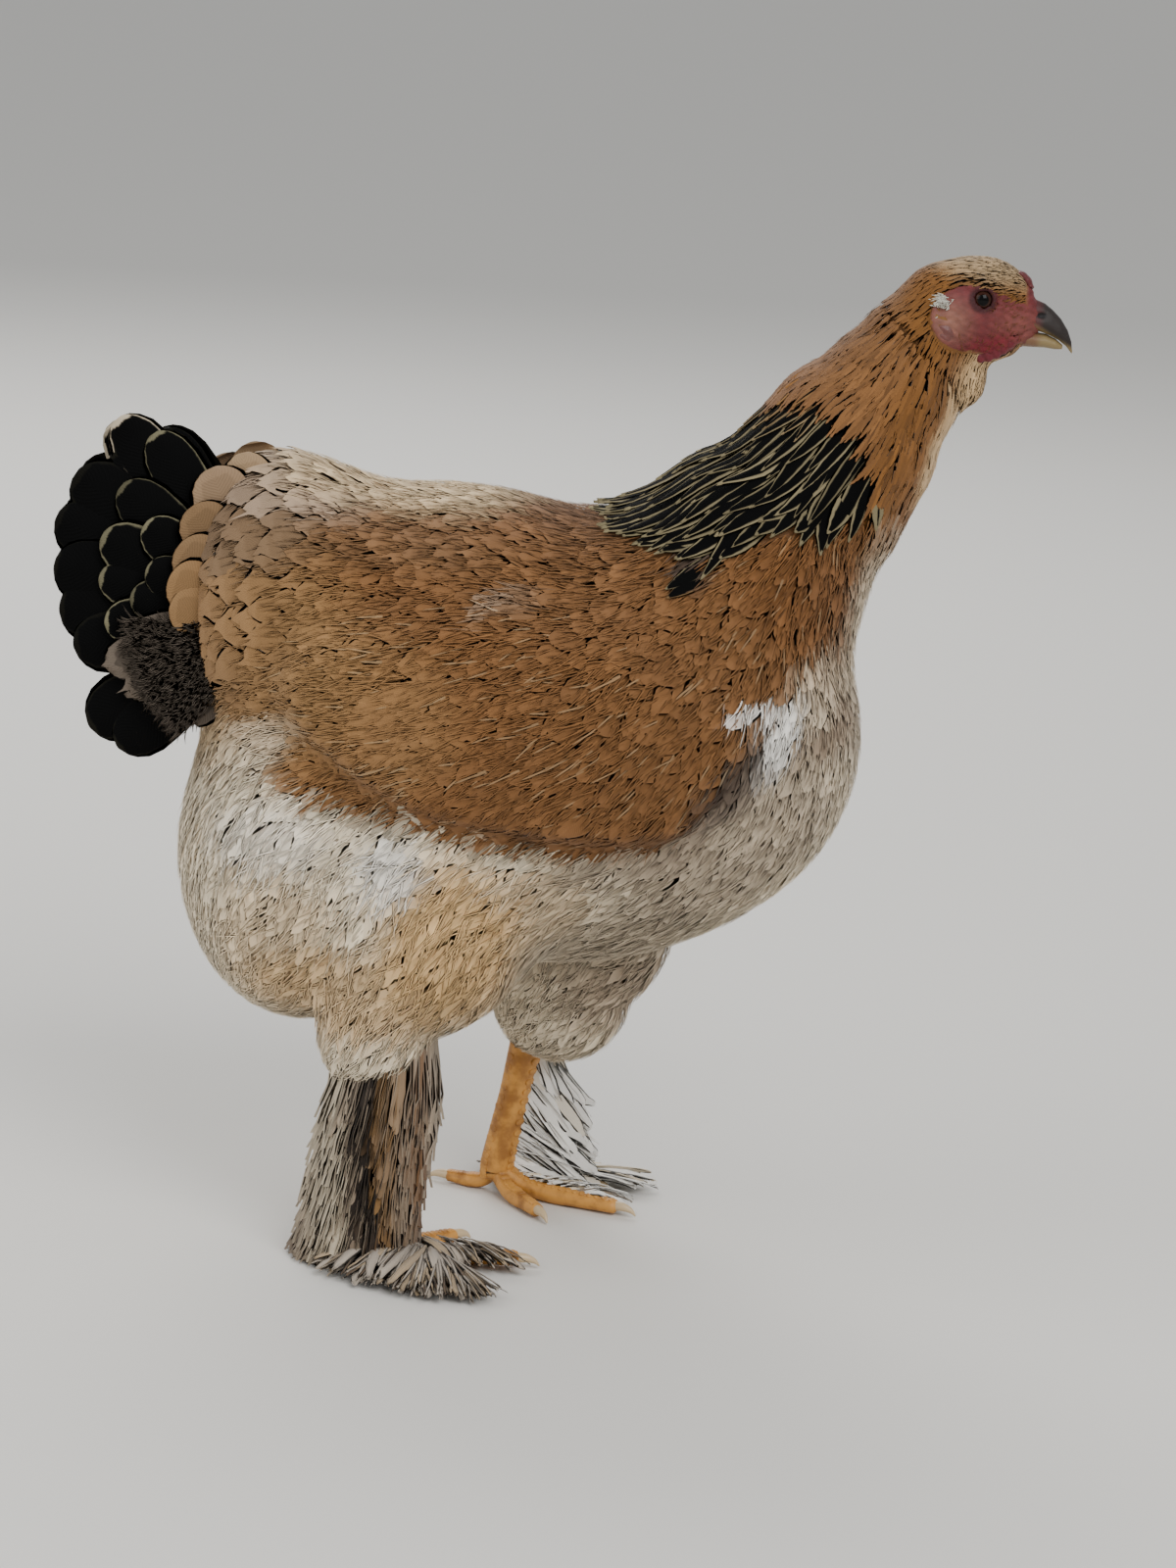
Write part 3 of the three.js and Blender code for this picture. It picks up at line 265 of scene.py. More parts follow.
class Shape:
    """A rule for a smooth shape, kept on a grid so that many points can be read and settled at once."""

    def __init__(self, rule, low, high, cell):
        self.low, self.cell = np.array(low, float), float(cell)
        self.n = [int(math.ceil((b - a) / cell)) + 1 for a, b in zip(low, high)]
        axes = [low[a] + cell * np.arange(self.n[a]) for a in range(3)]
        self.points = np.stack([g.ravel() for g in np.meshgrid(*axes, indexing="ij")], 1)
        self.values = rule(self.points).reshape(self.n)
        self.kept = np.stack([self.values, *np.gradient(self.values, cell)], -1)

    def at(self, p):
        """The shape's value at each point, and the way in which it grows."""
        q = np.clip((p - self.low) / self.cell, 0, np.array(self.n) - 1.001)
        i = q.astype(int)
        f = q - i
        out = 0
        for corner in product((0, 1), repeat=3):
            w = np.prod([f[:, axis] if far else 1 - f[:, axis] for axis, far in enumerate(corner)], axis=0)
            out = out + w[:, None] * self.kept[tuple((i + corner).T)]
        return out[:, 0], out[:, 1:]

    def settle(self, p, level, steps=2):
        """Moves points to where the shape has the value level."""
        for _ in range(steps):
            f, g = self.at(p)
            p = p + g * ((level - f) / np.maximum((g * g).sum(1), 0.1))[:, None]
        return p

    def normal(self, p):
        return unit(self.at(p)[1])

    def surface(self, depth=None, cut=None):
        """The closed surface that lies depth(p) inside, as points and four-sided faces."""
        v = self.values if depth is None else self.values + depth(self.points).reshape(self.n)
        if cut is not None:
            v = np.maximum(v, cut(self.points).reshape(self.n))
        n = np.array(v.shape) - 1
        part = lambda o: v[o[0]:n[0] + o[0], o[1]:n[1] + o[1], o[2]:n[2] + o[2]]
        total, count = np.zeros((*n, 3)), np.zeros(n)
        for axis in range(3):
            others = [a for a in range(3) if a != axis]
            for ends in product((0, 1), repeat=2):
                o = [0, 0, 0]
                o[others[0]], o[others[1]] = ends
                far = list(o)
                far[axis] = 1
                a, b = part(o), part(far)
                crossed = (a < 0) != (b < 0)
                share = np.where(crossed, a / np.where(crossed, a - b, 1), 0)
                for c in range(3):
                    total[..., c] += crossed * (share if c == axis else o[c])
                count += crossed
        used = count > 0
        index = np.full(n, -1)
        index[used] = np.arange(used.sum())
        points = self.low + self.cell * (np.argwhere(used) + total[used] / count[used][:, None])
        faces = []
        inside = v < 0
        for axis in range(3):
            u, w = (axis + 1) % 3, (axis + 2) % 3
            here, there = [slice(1, -1)] * 3, [slice(1, -1)] * 3
            here[axis], there[axis] = slice(0, -1), slice(1, None)
            a, b = inside[tuple(here)], inside[tuple(there)]
            spots = np.argwhere(a != b)
            up = a[a != b]
            start = [1, 1, 1]
            start[axis] = 0
            spots = spots + start
            ring = []
            for du, dw in ((0, 0), (-1, 0), (-1, -1), (0, -1)):
                s = spots.copy()
                s[:, u] += du
                s[:, w] += dw
                ring.append(index[s[:, 0], s[:, 1], s[:, 2]])
            ring = np.stack(ring, 1)
            ring[~up] = ring[~up][:, ::-1]
            faces.append(ring)
        return points, np.concatenate(faces)


def head_shape(p):
    """The plumage with the brow, cheek, lids, ear, mouth and folds of the face."""
    q = np.stack([p[:, 0], np.abs(p[:, 1]), p[:, 2]], 1)
    f = blend(plumage_shape(p), tube(q, BROW), 4)
    f = blend(f, ellipsoid(q, *CHEEK), 5)
    ring, out = eye_ring(q), q[:, 1] - (EYE[1] + 1.5)
    socket = np.sqrt((q[:, 0] - EYE[0]) ** 2 + (q[:, 1] - EYE[1]) ** 2 + (q[:, 2] - EYE[2]) ** 2)
    f = np.maximum(f, -(socket - SOCKET_RADIUS))
    for radius, sunk, thick, soft in LIDS:
        f = blend(f, np.hypot(ring - radius, out + sunk) - thick, soft)
    for radius, sunk, thick, soft in LID_GROOVES:
        f = carve(f, np.hypot(ring - radius, out + sunk) - thick, soft)
    f = carve(f, ellipsoid(q, *EAR_HOLLOW), 2)
    f = carve(f, tube(q, MOUTH), 1.1)
    for n, (x, z, bow) in enumerate(FOLDS):
        fold = tube(q, [(x - 10, 14.5, z - 5 + n, 0.9, 0.9), (x, 13.4, z - bow, 1.1, 1.1),
                        (x + 9, 10.6, z + 1.0, 0.8, 0.8)])
        f = f - 0.55 * np.exp(-np.square(np.maximum(fold, 0) / 1.3)) * ease(-3, 1, f)
    x, z = q[:, 0], q[:, 2]
    grain = np.sin(x * 2.3 + 2.5 * np.sin(z * 0.9)) * np.sin(z * 2.7 + 2 * np.sin(x * 0.8))
    crease = np.sin((z + 0.42 * (x - 214)) * 1.5 + 1.4 * np.sin(x * 0.34))
    return f - (0.24 * grain + 0.26 * crease * ease(9, 13, ring)) * bare_share(p)


# Making meshes from arrays

def in_frame(p):
    return (np.asarray(p, float) + (SHIFT, 0, 0)) / 1000


def mesh_piece(name, points, faces, material, corners=None, points_data=None, facing=None):
    """Points in millimetres and faces as index arrays, each n x k, as a smooth piece. Extras: UV maps, point
    colours and the way that each corner faces, which keeps overlapping feathers as soft as the body below."""
    mesh = bpy.data.meshes.new(name)
    points = in_frame(points)
    mesh.vertices.add(len(points))
    mesh.vertices.foreach_set("co", points.astype(np.float32).ravel())
    sizes = np.concatenate([np.full(len(f), f.shape[1]) for f in faces])
    loops = np.concatenate([f.ravel() for f in faces]).astype(np.int32)
    mesh.loops.add(len(loops))
    mesh.loops.foreach_set("vertex_index", loops)
    mesh.polygons.add(len(sizes))
    mesh.polygons.foreach_set("loop_start", np.concatenate([[0], np.cumsum(sizes)[:-1]]).astype(np.int32))
    for title, uv in (corners or {}).items():
        layer = mesh.uv_layers.new(name=title)
        layer.uv.foreach_set("vector", uv[loops].astype(np.float32).ravel())
    for title, values in (points_data or {}).items():
        layer = mesh.attributes.new(title, "FLOAT_COLOR", "POINT")
        four = np.ones((len(points), 4), np.float32)
        four[:, : values.shape[1]] = values
        layer.data.foreach_set("color", four.ravel())
    mesh.update(calc_edges=True)
    mesh.polygons.foreach_set("use_smooth", np.full(len(sizes), True))
    if facing is not None:
        layer = mesh.attributes.new("custom_normal", "FLOAT_VECTOR", "CORNER")
        layer.data.foreach_set("vector", facing.astype(np.float32).ravel())
    mesh.materials.append(material)
    piece = bpy.data.objects.new(name, mesh)
    bpy.context.scene.collection.objects.link(piece)
    return piece

def tube_faces(rings, sides):
    """Faces round a row of rings, and the fans that close its two ends on the two points after them."""
    s = np.arange(sides)
    e = (s + 1) % sides
    faces = np.concatenate([np.stack([s, e, e + sides, s + sides], 1) + k * sides for k in range(rings - 1)])
    last = (rings - 1) * sides
    caps = np.concatenate([np.stack([e, s, np.full(sides, rings * sides)], 1),
                           np.stack([last + s, last + e, np.full(sides, rings * sides + 1)], 1)])
    return faces, caps
def settled(piece, slot, *nodes):
    """Puts a finished piece on the bird and hides the solids that it stands for. slot is not used."""
    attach(piece, "root")
    if nodes:
        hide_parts(*nodes)
    return piece


def scatter(surface, spacing, rng, wanted, over=5):
    """Points spread evenly over a surface, spacing(p) apart, only where wanted(p) holds."""
    points, faces = surface
    tris = np.concatenate([faces[:, [0, 1, 2]], faces[:, [0, 2, 3]]])
    a, b, c = (points[tris[:, k]] for k in range(3))
    area = np.linalg.norm(np.cross(b - a, c - a), axis=1) / 2
    centre = (a + b + c) / 3
    weight = area / spacing(centre) ** 2 * wanted(centre)
    count = int(weight.sum() * over)
    pick = rng.choice(len(tris), count, p=weight / weight.sum())
    u, v = rng.random(count), rng.random(count)
    flip = u + v > 1
    u[flip], v[flip] = 1 - u[flip], 1 - v[flip]
    p = a[pick] + u[:, None] * (b - a)[pick] + v[:, None] * (c - a)[pick]
    p = p[wanted(p) > 0.5]
    gap = spacing(p)
    tree = KDTree(len(p))
    for n, q in enumerate(p.tolist()):
        tree.insert(q, n)
    tree.balance()
    free, kept = np.ones(len(p), bool), []
    for n, q in enumerate(p.tolist()):
        if free[n]:
            kept.append(n)
            for _, m, _ in tree.find_range(q, gap[n]):
                free[m] = False
    return p[kept]


# The line along the body from tail to bill that the skin is unrolled from, in the side view.
SPINE = np.array([
    (-230, 300), (-112, 300), (20, 262), (104, 290), (138, 381), (182, 459), (205, 480), (262, 470),
], float)


def unwrap(p):
    """The place of points on the skin laid flat: along the spine from tail to bill, and round it."""
    best = np.full(len(p), 1e9)
    along, round_it = np.zeros(len(p)), np.zeros(len(p))
    done = 0.0
    q = p[:, [0, 2]]
    for a, b in zip(SPINE[:-1], SPINE[1:]):
        run = b - a
        size = np.hypot(*run)
        t = np.clip((q - a) @ run / size ** 2, 0, 1)
        off = q - a - t[:, None] * run
        up = off @ np.array([-run[1], run[0]]) / size
        d = np.hypot(off[:, 0], off[:, 1])
        near = d < best
        best = np.where(near, d, best)
        along = np.where(near, done + t * size, along)
        round_it = np.where(near, np.arctan2(p[:, 1], up), round_it)
        done += size
    return np.stack([along / done, 0.5 + round_it / (2 * math.pi)], 1)


def lie(p):
    """The way in which the feathers lie at each point."""
    d = (p[:, None, 0] - LIE[:, 0]) ** 2 + (p[:, None, 2] - LIE[:, 1]) ** 2
    w = 1 / (d + 300) ** 2
    angle = np.radians((w * LIE[:, 2]).sum(1) / w.sum(1))
    side = 0.16 * np.tanh(p[:, 1] / 25) * ease(330, 380, p[:, 2]) * ease(150, 60, p[:, 0])
    return np.stack([-np.cos(angle), side, -np.sin(angle)], 1)


# Outlines of feathers: shares of the length, and the share of the half width that they have there.
ROUND = ([0, 0.22, 0.48, 0.7, 0.86, 0.96, 1.0], [0.3, 0.72, 0.97, 1.0, 0.82, 0.5, 0.2])
POINTED = ([0, 0.2, 0.42, 0.62, 0.8, 0.92, 1.0], [0.35, 0.8, 1.0, 0.93, 0.66, 0.34, 0.06])
WISP = ([0, 0.5, 1.0], [0.8, 1.0, 0.15])
CURL = ([0, 0.35, 0.7, 1.0], [0.8, 1.0, 0.8, 0.15])
QUILL = ([0, 0.2, 0.4, 0.6, 0.76, 0.87, 0.94, 0.98, 1.0],
         [0.3, 0.62, 0.84, 0.98, 1.0, 0.88, 0.66, 0.42, 0.16])


def lay_feathers(shape, roots, length, half, root_level, tip_level, outline, columns, camber, fringe, rng,
                 flow=lie, rise=1.0, sway=0.0):
    """Feathers laid along the plumage from their roots, as points by feather, row and column. Levels are
    heights over the plumage, camber and fringe bend and fray the vane, and sway turns whole feathers."""
    n = len(roots)
    shares, widths = np.array(outline[0]), np.array(outline[1])
    rows, across = len(shares), np.linspace(-1, 1, columns)
    here = roots.copy()
    turn = rng.normal(0, sway, n) if sway else np.zeros(n)
    points = np.zeros((n, rows, columns, 3))
    wobble = 1 + rng.normal(0, fringe, (n, rows, 2))
    slip = np.abs(rng.normal(0, fringe, (n, columns)))
    for k in range(rows):
        normal = shape.normal(here)
        way = flow(here)
        way = unit(way - (way * normal).sum(1)[:, None] * normal)
        side = np.cross(way, normal)
        way = unit(way + side * turn[:, None])
        side = np.cross(way, normal)
        if k:
            here = here + way * (length * (shares[k] - shares[k - 1]))[:, None]
        level = mix(root_level, tip_level, shares[k] ** rise)
        here = shape.settle(here, level)
        w = half * widths[k]
        for m, c in enumerate(across):
            edge = wobble[:, k, 0 if c < 0 else 1] if abs(c) > 0.99 else 1
            q = here + side * (w * c * edge)[:, None]
            if columns > 3:
                q = shape.settle(q, level - camber * c * c, 1)
            else:
                q = q + normal * (0.35 * (1 - c * c) * w)[:, None]
            if k >= rows - 2:
                q = q + way * (length * slip[:, m] * (1.0 if k == rows - 1 else 0.4))[:, None]
            points[:, k, m] = q
    return points


def feather_faces(rows, columns):
    """The faces of one closed feather: vane and flat underside, then its two ends."""
    grid = np.arange(rows * columns).reshape(rows, columns)
    top = np.stack([grid[:-1, :-1], grid[:-1, 1:], grid[1:, 1:], grid[1:, :-1]], -1).reshape(-1, 4)
    under = np.stack([grid[:-1, 0], grid[1:, 0], grid[1:, -1], grid[:-1, -1]], -1)
    ends = np.stack([grid[-1], grid[0, ::-1]])
    return np.concatenate([top, under]), ends


def pattern_of(n, rng, lace=0.0, start=0.6, shaft=0.0):
    """Per feather: how strong its lacing is and where it starts, luck, and how strong its shaft is."""
    return np.stack([np.zeros(n) + lace, np.zeros(n) + start, rng.random(n), np.zeros(n) + shaft], 1)


def batch_of(points, outline, tint, edge, pattern, place, facing, soft, patch=0.003):
    """A batch of feathers: points, colours of vane and edge, pattern, place on the unrolled skin, the way they
    face and how much of it they take, and the width of each feather on the unrolled skin."""
    return {"points": points, "shares": np.array(outline[0]), "Tint": tint, "Edge": edge, "Pattern": pattern,
            "place": place, "facing": facing, "soft": soft, "patch": patch}


def laid(shape, points, outline, roots, tint, edge, pattern, soft=0.8, patch=0.003):
    """A batch of feathers that were laid on a shape."""
    facing = shape.normal(points.reshape(-1, 3)).reshape(points.shape)
    return batch_of(points, outline, tint, edge, pattern, unwrap(roots), facing, soft, patch)


PIECE_LIMIT = 195000  # triangles


def feather_piece(name, batches, material):
    """Batches of feathers as one piece of closed plates."""
    points, quads, signs, uv, bake, normals = [], {}, {}, [], [], []
    data = {"Tint": [], "Edge": [], "Pattern": []}
    base, tris = 0, 0
    for batch in batches:
        p, shares = batch["points"], batch["shares"]
        p, shares = batch["points"], np.array(batch["shares"])
        n, rows, columns, _ = p.shape
        size = rows * columns
        four, ends = feather_faces(rows, columns)
        offset = base + size * np.arange(n)[:, None, None]
        sign = np.ones(len(four))
        sign[1 - rows:] = -1
        quads.setdefault(4, []).append((four[None] + offset).reshape(-1, 4))
        signs.setdefault(4, []).append(np.tile(sign, n))
        quads.setdefault(columns, []).append((ends[None] + offset).reshape(-1, columns))
        signs.setdefault(columns, []).append(np.ones(2 * n))
        tris += n * (len(four) * 2 + 2 * (columns - 2))
        normal = unit(np.cross(np.gradient(p, axis=2), np.gradient(p, axis=1)))
        normal = unit(mix(normal, batch["facing"], batch["soft"]))
        normals.append(normal.reshape(-1, 3))
        u = np.broadcast_to(np.linspace(0, 1, columns), (rows, columns))
        v = np.broadcast_to(shares[:, None], (rows, columns))
        vane = np.stack([u, v], -1).reshape(1, size, 2)
        uv.append(np.broadcast_to(vane, (n, size, 2)).reshape(-1, 2))
        bake.append((batch["place"][:, None] + (vane - 0.5) * batch["patch"]).reshape(-1, 2))
        points.append(p.reshape(-1, 3))
        for title in data:
            values = batch[title]
            values = values.reshape(n * size, -1) if values.ndim > 2 else np.repeat(values, size, axis=0)
            data[title].append(values)
        base += n * size
    if tris > PIECE_LIMIT:
        raise ValueError(f"{name} has {tris} triangles, over {PIECE_LIMIT}")
    faces = [np.concatenate(f) for f in quads.values()]
    normals = np.concatenate(normals)
    facing = [(normals[f] * np.concatenate(signs[k])[:, None, None]).reshape(-1, 3)
              for k, f in zip(quads, faces)]
    maps = {"Vane": np.concatenate(uv), "OFBake": np.concatenate(bake)}
    data = {title: np.concatenate(values) for title, values in data.items()}
    return mesh_piece(name, np.concatenate(points), faces, material, maps, data, np.concatenate(facing))

# Colours

def tone(r, g, b):
    """A colour as the eye reads it, 0 to 255, as the light it returns."""
    return tuple(((c / 255 + 0.055) / 1.055) ** 2.4 if c > 10 else c / 3294.6 for c in (r, g, b))


def colour_setting(name, rgb, about):
    return FloatVectorProperty(name=name, description=about, subtype="COLOR", size=3, min=0, max=1,
                               default=tone(*rgb))


def length_setting(name, mm, about):
    return FloatProperty(name=name, description=about, unit="LENGTH", default=mm / 1000, min=0)


class HenColours(bpy.types.PropertyGroup):
    brown: colour_setting("Brown", (118, 80, 44), "Wing and shoulder")
    rust: colour_setting("Rust", (114, 74, 37), "Breast under the hackle")
    ochre: colour_setting("Ochre", (112, 72, 28), "Crown, cheeks and front of the neck")
    gold: colour_setting("Gold", (150, 114, 72), "Golden flank")
    honey: colour_setting("Honey", (206, 168, 116), "Golden wash over the thighs")
    buff: colour_setting("Pale buff", (214, 188, 146), "Back and saddle")
    rose: colour_setting("Rose buff", (176, 152, 128), "Feather edges of the cushion")
    dusk: colour_setting("Dusty brown", (118, 94, 68), "Cushion over the tail")
    cream: colour_setting("Cream", (226, 210, 182), "Soft feathers of belly and thighs")
    grey: colour_setting("Dove grey", (152, 134, 114), "Under fluff")
    white: colour_setting("White", (236, 232, 224), "Down and leg feathers")
    slate: colour_setting("Slate", (64, 54, 46), "Dark patches")
    black: colour_setting("Black", (5, 5, 5), "Tail and hackle centres")
    lace: colour_setting("Lace", (120, 110, 84), "Edges of the hackle and tail coverts")
    face: colour_setting("Face", (96, 36, 38), "Bare skin of the face")
    comb: colour_setting("Comb", (104, 18, 32), "Wattles and folds of the face")
    horn: colour_setting("Horn", (128, 110, 74), "Sides of the bill")
    culmen: colour_setting("Culmen", (34, 26, 22), "Ridge of the bill")
    leg: colour_setting("Leg", (200, 142, 66), "Scaly skin of shanks and toes")
    claw: colour_setting("Claw", (196, 172, 134), "Claws")
    iris: colour_setting("Iris", (46, 22, 12), "Ring of the eye")


class HenCoat(bpy.types.PropertyGroup):
    wisp_length: length_setting("Wisp length", 12, "Length of the loose barbs over the feathers")
    wisp_spacing: length_setting("Wisp spacing", 2.3, "Distance between the roots of loose barbs")
    seed: IntProperty(name="Seed", description="Number that fixes the scatter of the feathers", default=7)

class HenStage(bpy.types.PropertyGroup):
    floor: colour_setting("Floor", (214, 211, 205), "Pale plain floor")
    lens: FloatProperty(name="Lens", description="Focal length of the camera", unit="CAMERA", default=100.6)
    key: FloatProperty(name="Key light", description="Power of the main soft light", unit="POWER", default=96)

def hen_colour(name):
    return np.array(getattr(bpy.context.scene.hen_colours, name))


def seeded(offset):
    """Random draws of one operator, fixed by the seed."""
    return np.random.default_rng(bpy.context.scene.hen_coat.seed + offset)
def mark(p, at, reach, tilt=0.0, soft=0.45):
    """1 in the middle of an oval mark of the side view, fading to 0 at its edge."""
    c, s = math.cos(math.radians(tilt)), math.sin(math.radians(tilt))
    dx, dz = p[:, 0] - at[0], p[:, 2] - at[1]
    q = np.hypot((dx * c + dz * s) / reach[0], (dz * c - dx * s) / reach[1])
    return ease(1 + soft / 2, 1 - soft, q)


# Marks of the plumage: colour, place, reach, tilt and strength, then the side if only one has it. The first
# list lies above the wing's lower edge, the second below it.
UPPER = [
    ("gold", (-128, 296), (66, 62), 0, 0.85, 0),
    ("gold", (-64, 276), (50, 44), 0, 0.45, 0),
    ("dusk", (-130, 352), (40, 24), 15, 0.85, 0),
    ("dusk", (-60, 352), (60, 12), 0, 0.25, 0),
    ("rose", (-112, 372), (44, 14), -8, 0.75, 0),
    ("buff", (-58, 381), (66, 17), -2, 0.9, 0),
    ("buff", (-2, 384), (50, 15), 3, 0.6, 0),
    ("cream", (-122, 246), (32, 14), 35, 0.55, 0),
    ("rose", (-8, 331), (17, 4), 38, 0.35, 0),
    ("grey", (2, 334), (16, 7), 10, 0.2, 0),
    ("rust", (146, 346), (36, 46), 55, 0.7, 0),
    ("ochre", (186, 400), (26, 60), -10, 0.85, 0),
    ("cream", (181, 306), (19, 62), 4, 0.9, 0),
    ("grey", (150, 262), (40, 36), 45, 0.75, 0),
    ("cream", (150, 296), (22, 16), 60, 0.5, 0),
    ("slate", (116, 257), (13, 36), -42, 0.92, 0),
    ("white", (133, 271), (8, 27), -16, 0.9, 0),
    ("white", (121, 289), (14, 5), 8, 0.8, 0),
    ("slate", (82, 352), (13, 8), -30, 0.9, 0),
]
LOWER = [
    ("honey", (-150, 262), (36, 28), 0, 0.7, 0),
    ("dusk", (-170, 268), (22, 20), 0, 0.5, 0),
    ("honey", (-12, 172), (38, 44), 10, 0.95, 0),
    ("honey", (-52, 140), (66, 26), 0, 0.7, 0),
    ("honey", (-96, 165), (34, 36), 10, 0.35, 0),
    ("honey", (30, 190), (26, 22), 0, 0.4, 0),
    ("white", (-44, 203), (18, 17), 0, 0.75, 0),
    ("white", (-104, 210), (30, 18), 0, 0.4, 0),
    ("grey", (66, 214), (42, 12), 14, 0.7, 0),
    ("slate", (116, 257), (13, 36), -42, 0.92, 0),
    ("slate", (92, 232), (24, 9), 40, 0.6, 0),
    ("grey", (118, 222), (66, 34), 40, 0.7, 0),
    ("grey", (64, 150), (44, 44), 20, 0.5, 0),
    ("rose", (74, 118), (34, 26), 0, 0.5, 1),
]

def marked(colour, marks, p):
    for name, at, reach, tilt, strength, only in marks:
        share = mark(p, at, reach, tilt) * strength
        if only:
            share = share * (np.sign(p[:, 1]) == only)
        colour = mix(colour, hen_colour(name), share[:, None])
    return colour


def coat_colour(p):
    """Colour of skin and coat alike, by where it lies."""
    x, y, z = p.T
    above = marked(np.tile(hen_colour("brown"), (len(p), 1)), UPPER, p)
    below = marked(np.tile(hen_colour("cream"), (len(p), 1)), LOWER, p)
    edge = on_line(WING_LOW, x) + 1.6 * np.sin(x * 0.31 + 1.3 * np.sin(x * 0.13))
    # Behind and ahead of the legs the brown fades out; under the wing it ends on a line, with a painted shadow
    # just below the wing's edge.
    soft = mix(2.0, 12.0, ease(-88, -112, x) + ease(96, 120, x))
    # Painted shadow: the fluff is darkened in a band just under the wing's lower edge, where the wing
    # overhangs it.
    gap = np.exp(-np.square((edge - 2.4 - z) / 2.2)) * ease(-112, -84, x) * ease(70, 20, x)
    below = below * (1 - 0.6 * gap)[:, None]
    colour = mix(below, above, ease(-1, 1, (z - edge) / soft)[:, None])
    # Head: brown crown, paler on its very top, and pale feathers hanging from the throat.
    head = ease(446, 462, z) * ease(165, 182, x)
    colour = mix(colour, hen_colour("ochre"), head[:, None])
    top = mark(p, (212, 503), (34, 10), -8, 0.8)
    colour = mix(colour, hen_colour("buff") * 0.8, 0.55 * top[:, None])
    throat = mark(p, (215, 448), (12, 24), -24, 0.7)
    stripe = ease(-8, -1, x - on_line(THROAT_FRONT, z)) * ease(376, 392, z) * ease(460, 452, z)
    colour = mix(colour, hen_colour("buff") * (0.86, 0.78, 0.7), 0.85 * np.maximum(throat, stripe)[:, None])
    cloud = np.sin(x * 0.11 + 1.7 * np.sin(z * 0.07)) * np.sin(z * 0.13 + y * 0.05)
    fine = np.sin(x * 0.37 + 2 * np.sin(z * 0.23)) * np.sin(z * 0.41 + 2 * np.sin(x * 0.17))
    # Painted shade: the cushion over the tail is darkened, as it faces the lights more than the rest of the
    # coat.
    dull = 1 - 0.22 * mark(p, (-134, 326), (54, 76), 0, 0.6)
    return colour * (dull * (1 + 0.07 * cloud + 0.08 * fine))[:, None]


def black_share(p):
    """How much of a hackle feather is black: 1 low on the neck, fine streaks above, none in front."""
    x, z = p[:, 0], p[:, 2]
    ahead, above = x - on_line(HACKLE_FRONT, z), z - on_line(HACKLE_EDGE, x)
    zone = ease(7, -7, ahead) * ease(-3, 2, above) * ease(25, 40, x)
    return zone * mix(1, 0.4, ease(418, 446, z)) * ease(466, 446, z)


def new_material(name, colour=(0.5, 0.5, 0.5), roughness=0.6, **sockets):
    made = bpy.data.materials.new(name)
    made.use_nodes = True
    shader = made.node_tree.nodes["Principled BSDF"]
    shader.inputs["Base Color"].default_value = (*colour, 1)
    shader.inputs["Roughness"].default_value = roughness
    for title, value in sockets.items():
        shader.inputs[title.replace("_", " ")].default_value = value
    return made, shader


class Nodes:
    """Short hands for joining a material's nodes."""

    def __init__(self, material):
        self.tree = material.node_tree

    def add(self, kind, **settings):
        node = self.tree.nodes.new(kind)
        for key, value in settings.items():
            setattr(node, key, value)
        return node

    def join(self, source, target):
        self.tree.links.new(source, target)

    def math(self, operation, a, b=None, c=None):
        node = self.add("ShaderNodeMath", operation=operation)
        for socket, value in zip(node.inputs, (a, b, c)):
            if value is None:
                continue
            if isinstance(value, (int, float)):
                socket.default_value = value
            else:
                self.join(value, socket)
        return node.outputs[0]

    def ramp(self, value, low, high):
        node = self.add("ShaderNodeMapRange", interpolation_type="SMOOTHSTEP")
        self.join(value, node.inputs["Value"])
        node.inputs["From Min"].default_value = low
        node.inputs["From Max"].default_value = high
        return node.outputs["Result"]

    def blend(self, share, a, b, mode="MIX"):
        node = self.add("ShaderNodeMix", data_type="RGBA", blend_type=mode)
        for socket, value in ((node.inputs[0], share), (node.inputs[6], a), (node.inputs[7], b)):
            if isinstance(value, (int, float)):
                socket.default_value = value
            elif isinstance(value, tuple):
                socket.default_value = (*value, 1) if len(value) == 3 else value
            else:
                self.join(value, socket)
        return node.outputs[2]

    def scaled(self, colour, factor):
        node = self.add("ShaderNodeVectorMath", operation="SCALE")
        self.join(colour, node.inputs[0])
        self.join(factor, node.inputs["Scale"])
        return node.outputs[0]

    def split(self, vector):
        node = self.add("ShaderNodeSeparateXYZ")
        self.join(vector, node.inputs[0])
        return node.outputs

    def attribute(self, name):
        return self.add("ShaderNodeAttribute", attribute_name=name)

    def noise(self, scale, vector=None, detail=3.0, roughness=0.55):
        node = self.add("ShaderNodeTexNoise")
        node.inputs["Scale"].default_value = scale
        node.inputs["Detail"].default_value = detail
        node.inputs["Roughness"].default_value = roughness
        if vector is not None:
            self.join(vector, node.inputs["Vector"])
        return node.outputs["Fac"]

    def place(self):
        return self.add("ShaderNodeTexCoord").outputs["Object"]

    def bump(self, height, shader, strength, distance):
        node = self.add("ShaderNodeBump")
        node.inputs["Strength"].default_value = strength
        node.inputs["Distance"].default_value = distance
        self.join(height, node.inputs["Height"])
        self.join(node.outputs[0], shader.inputs["Normal"])


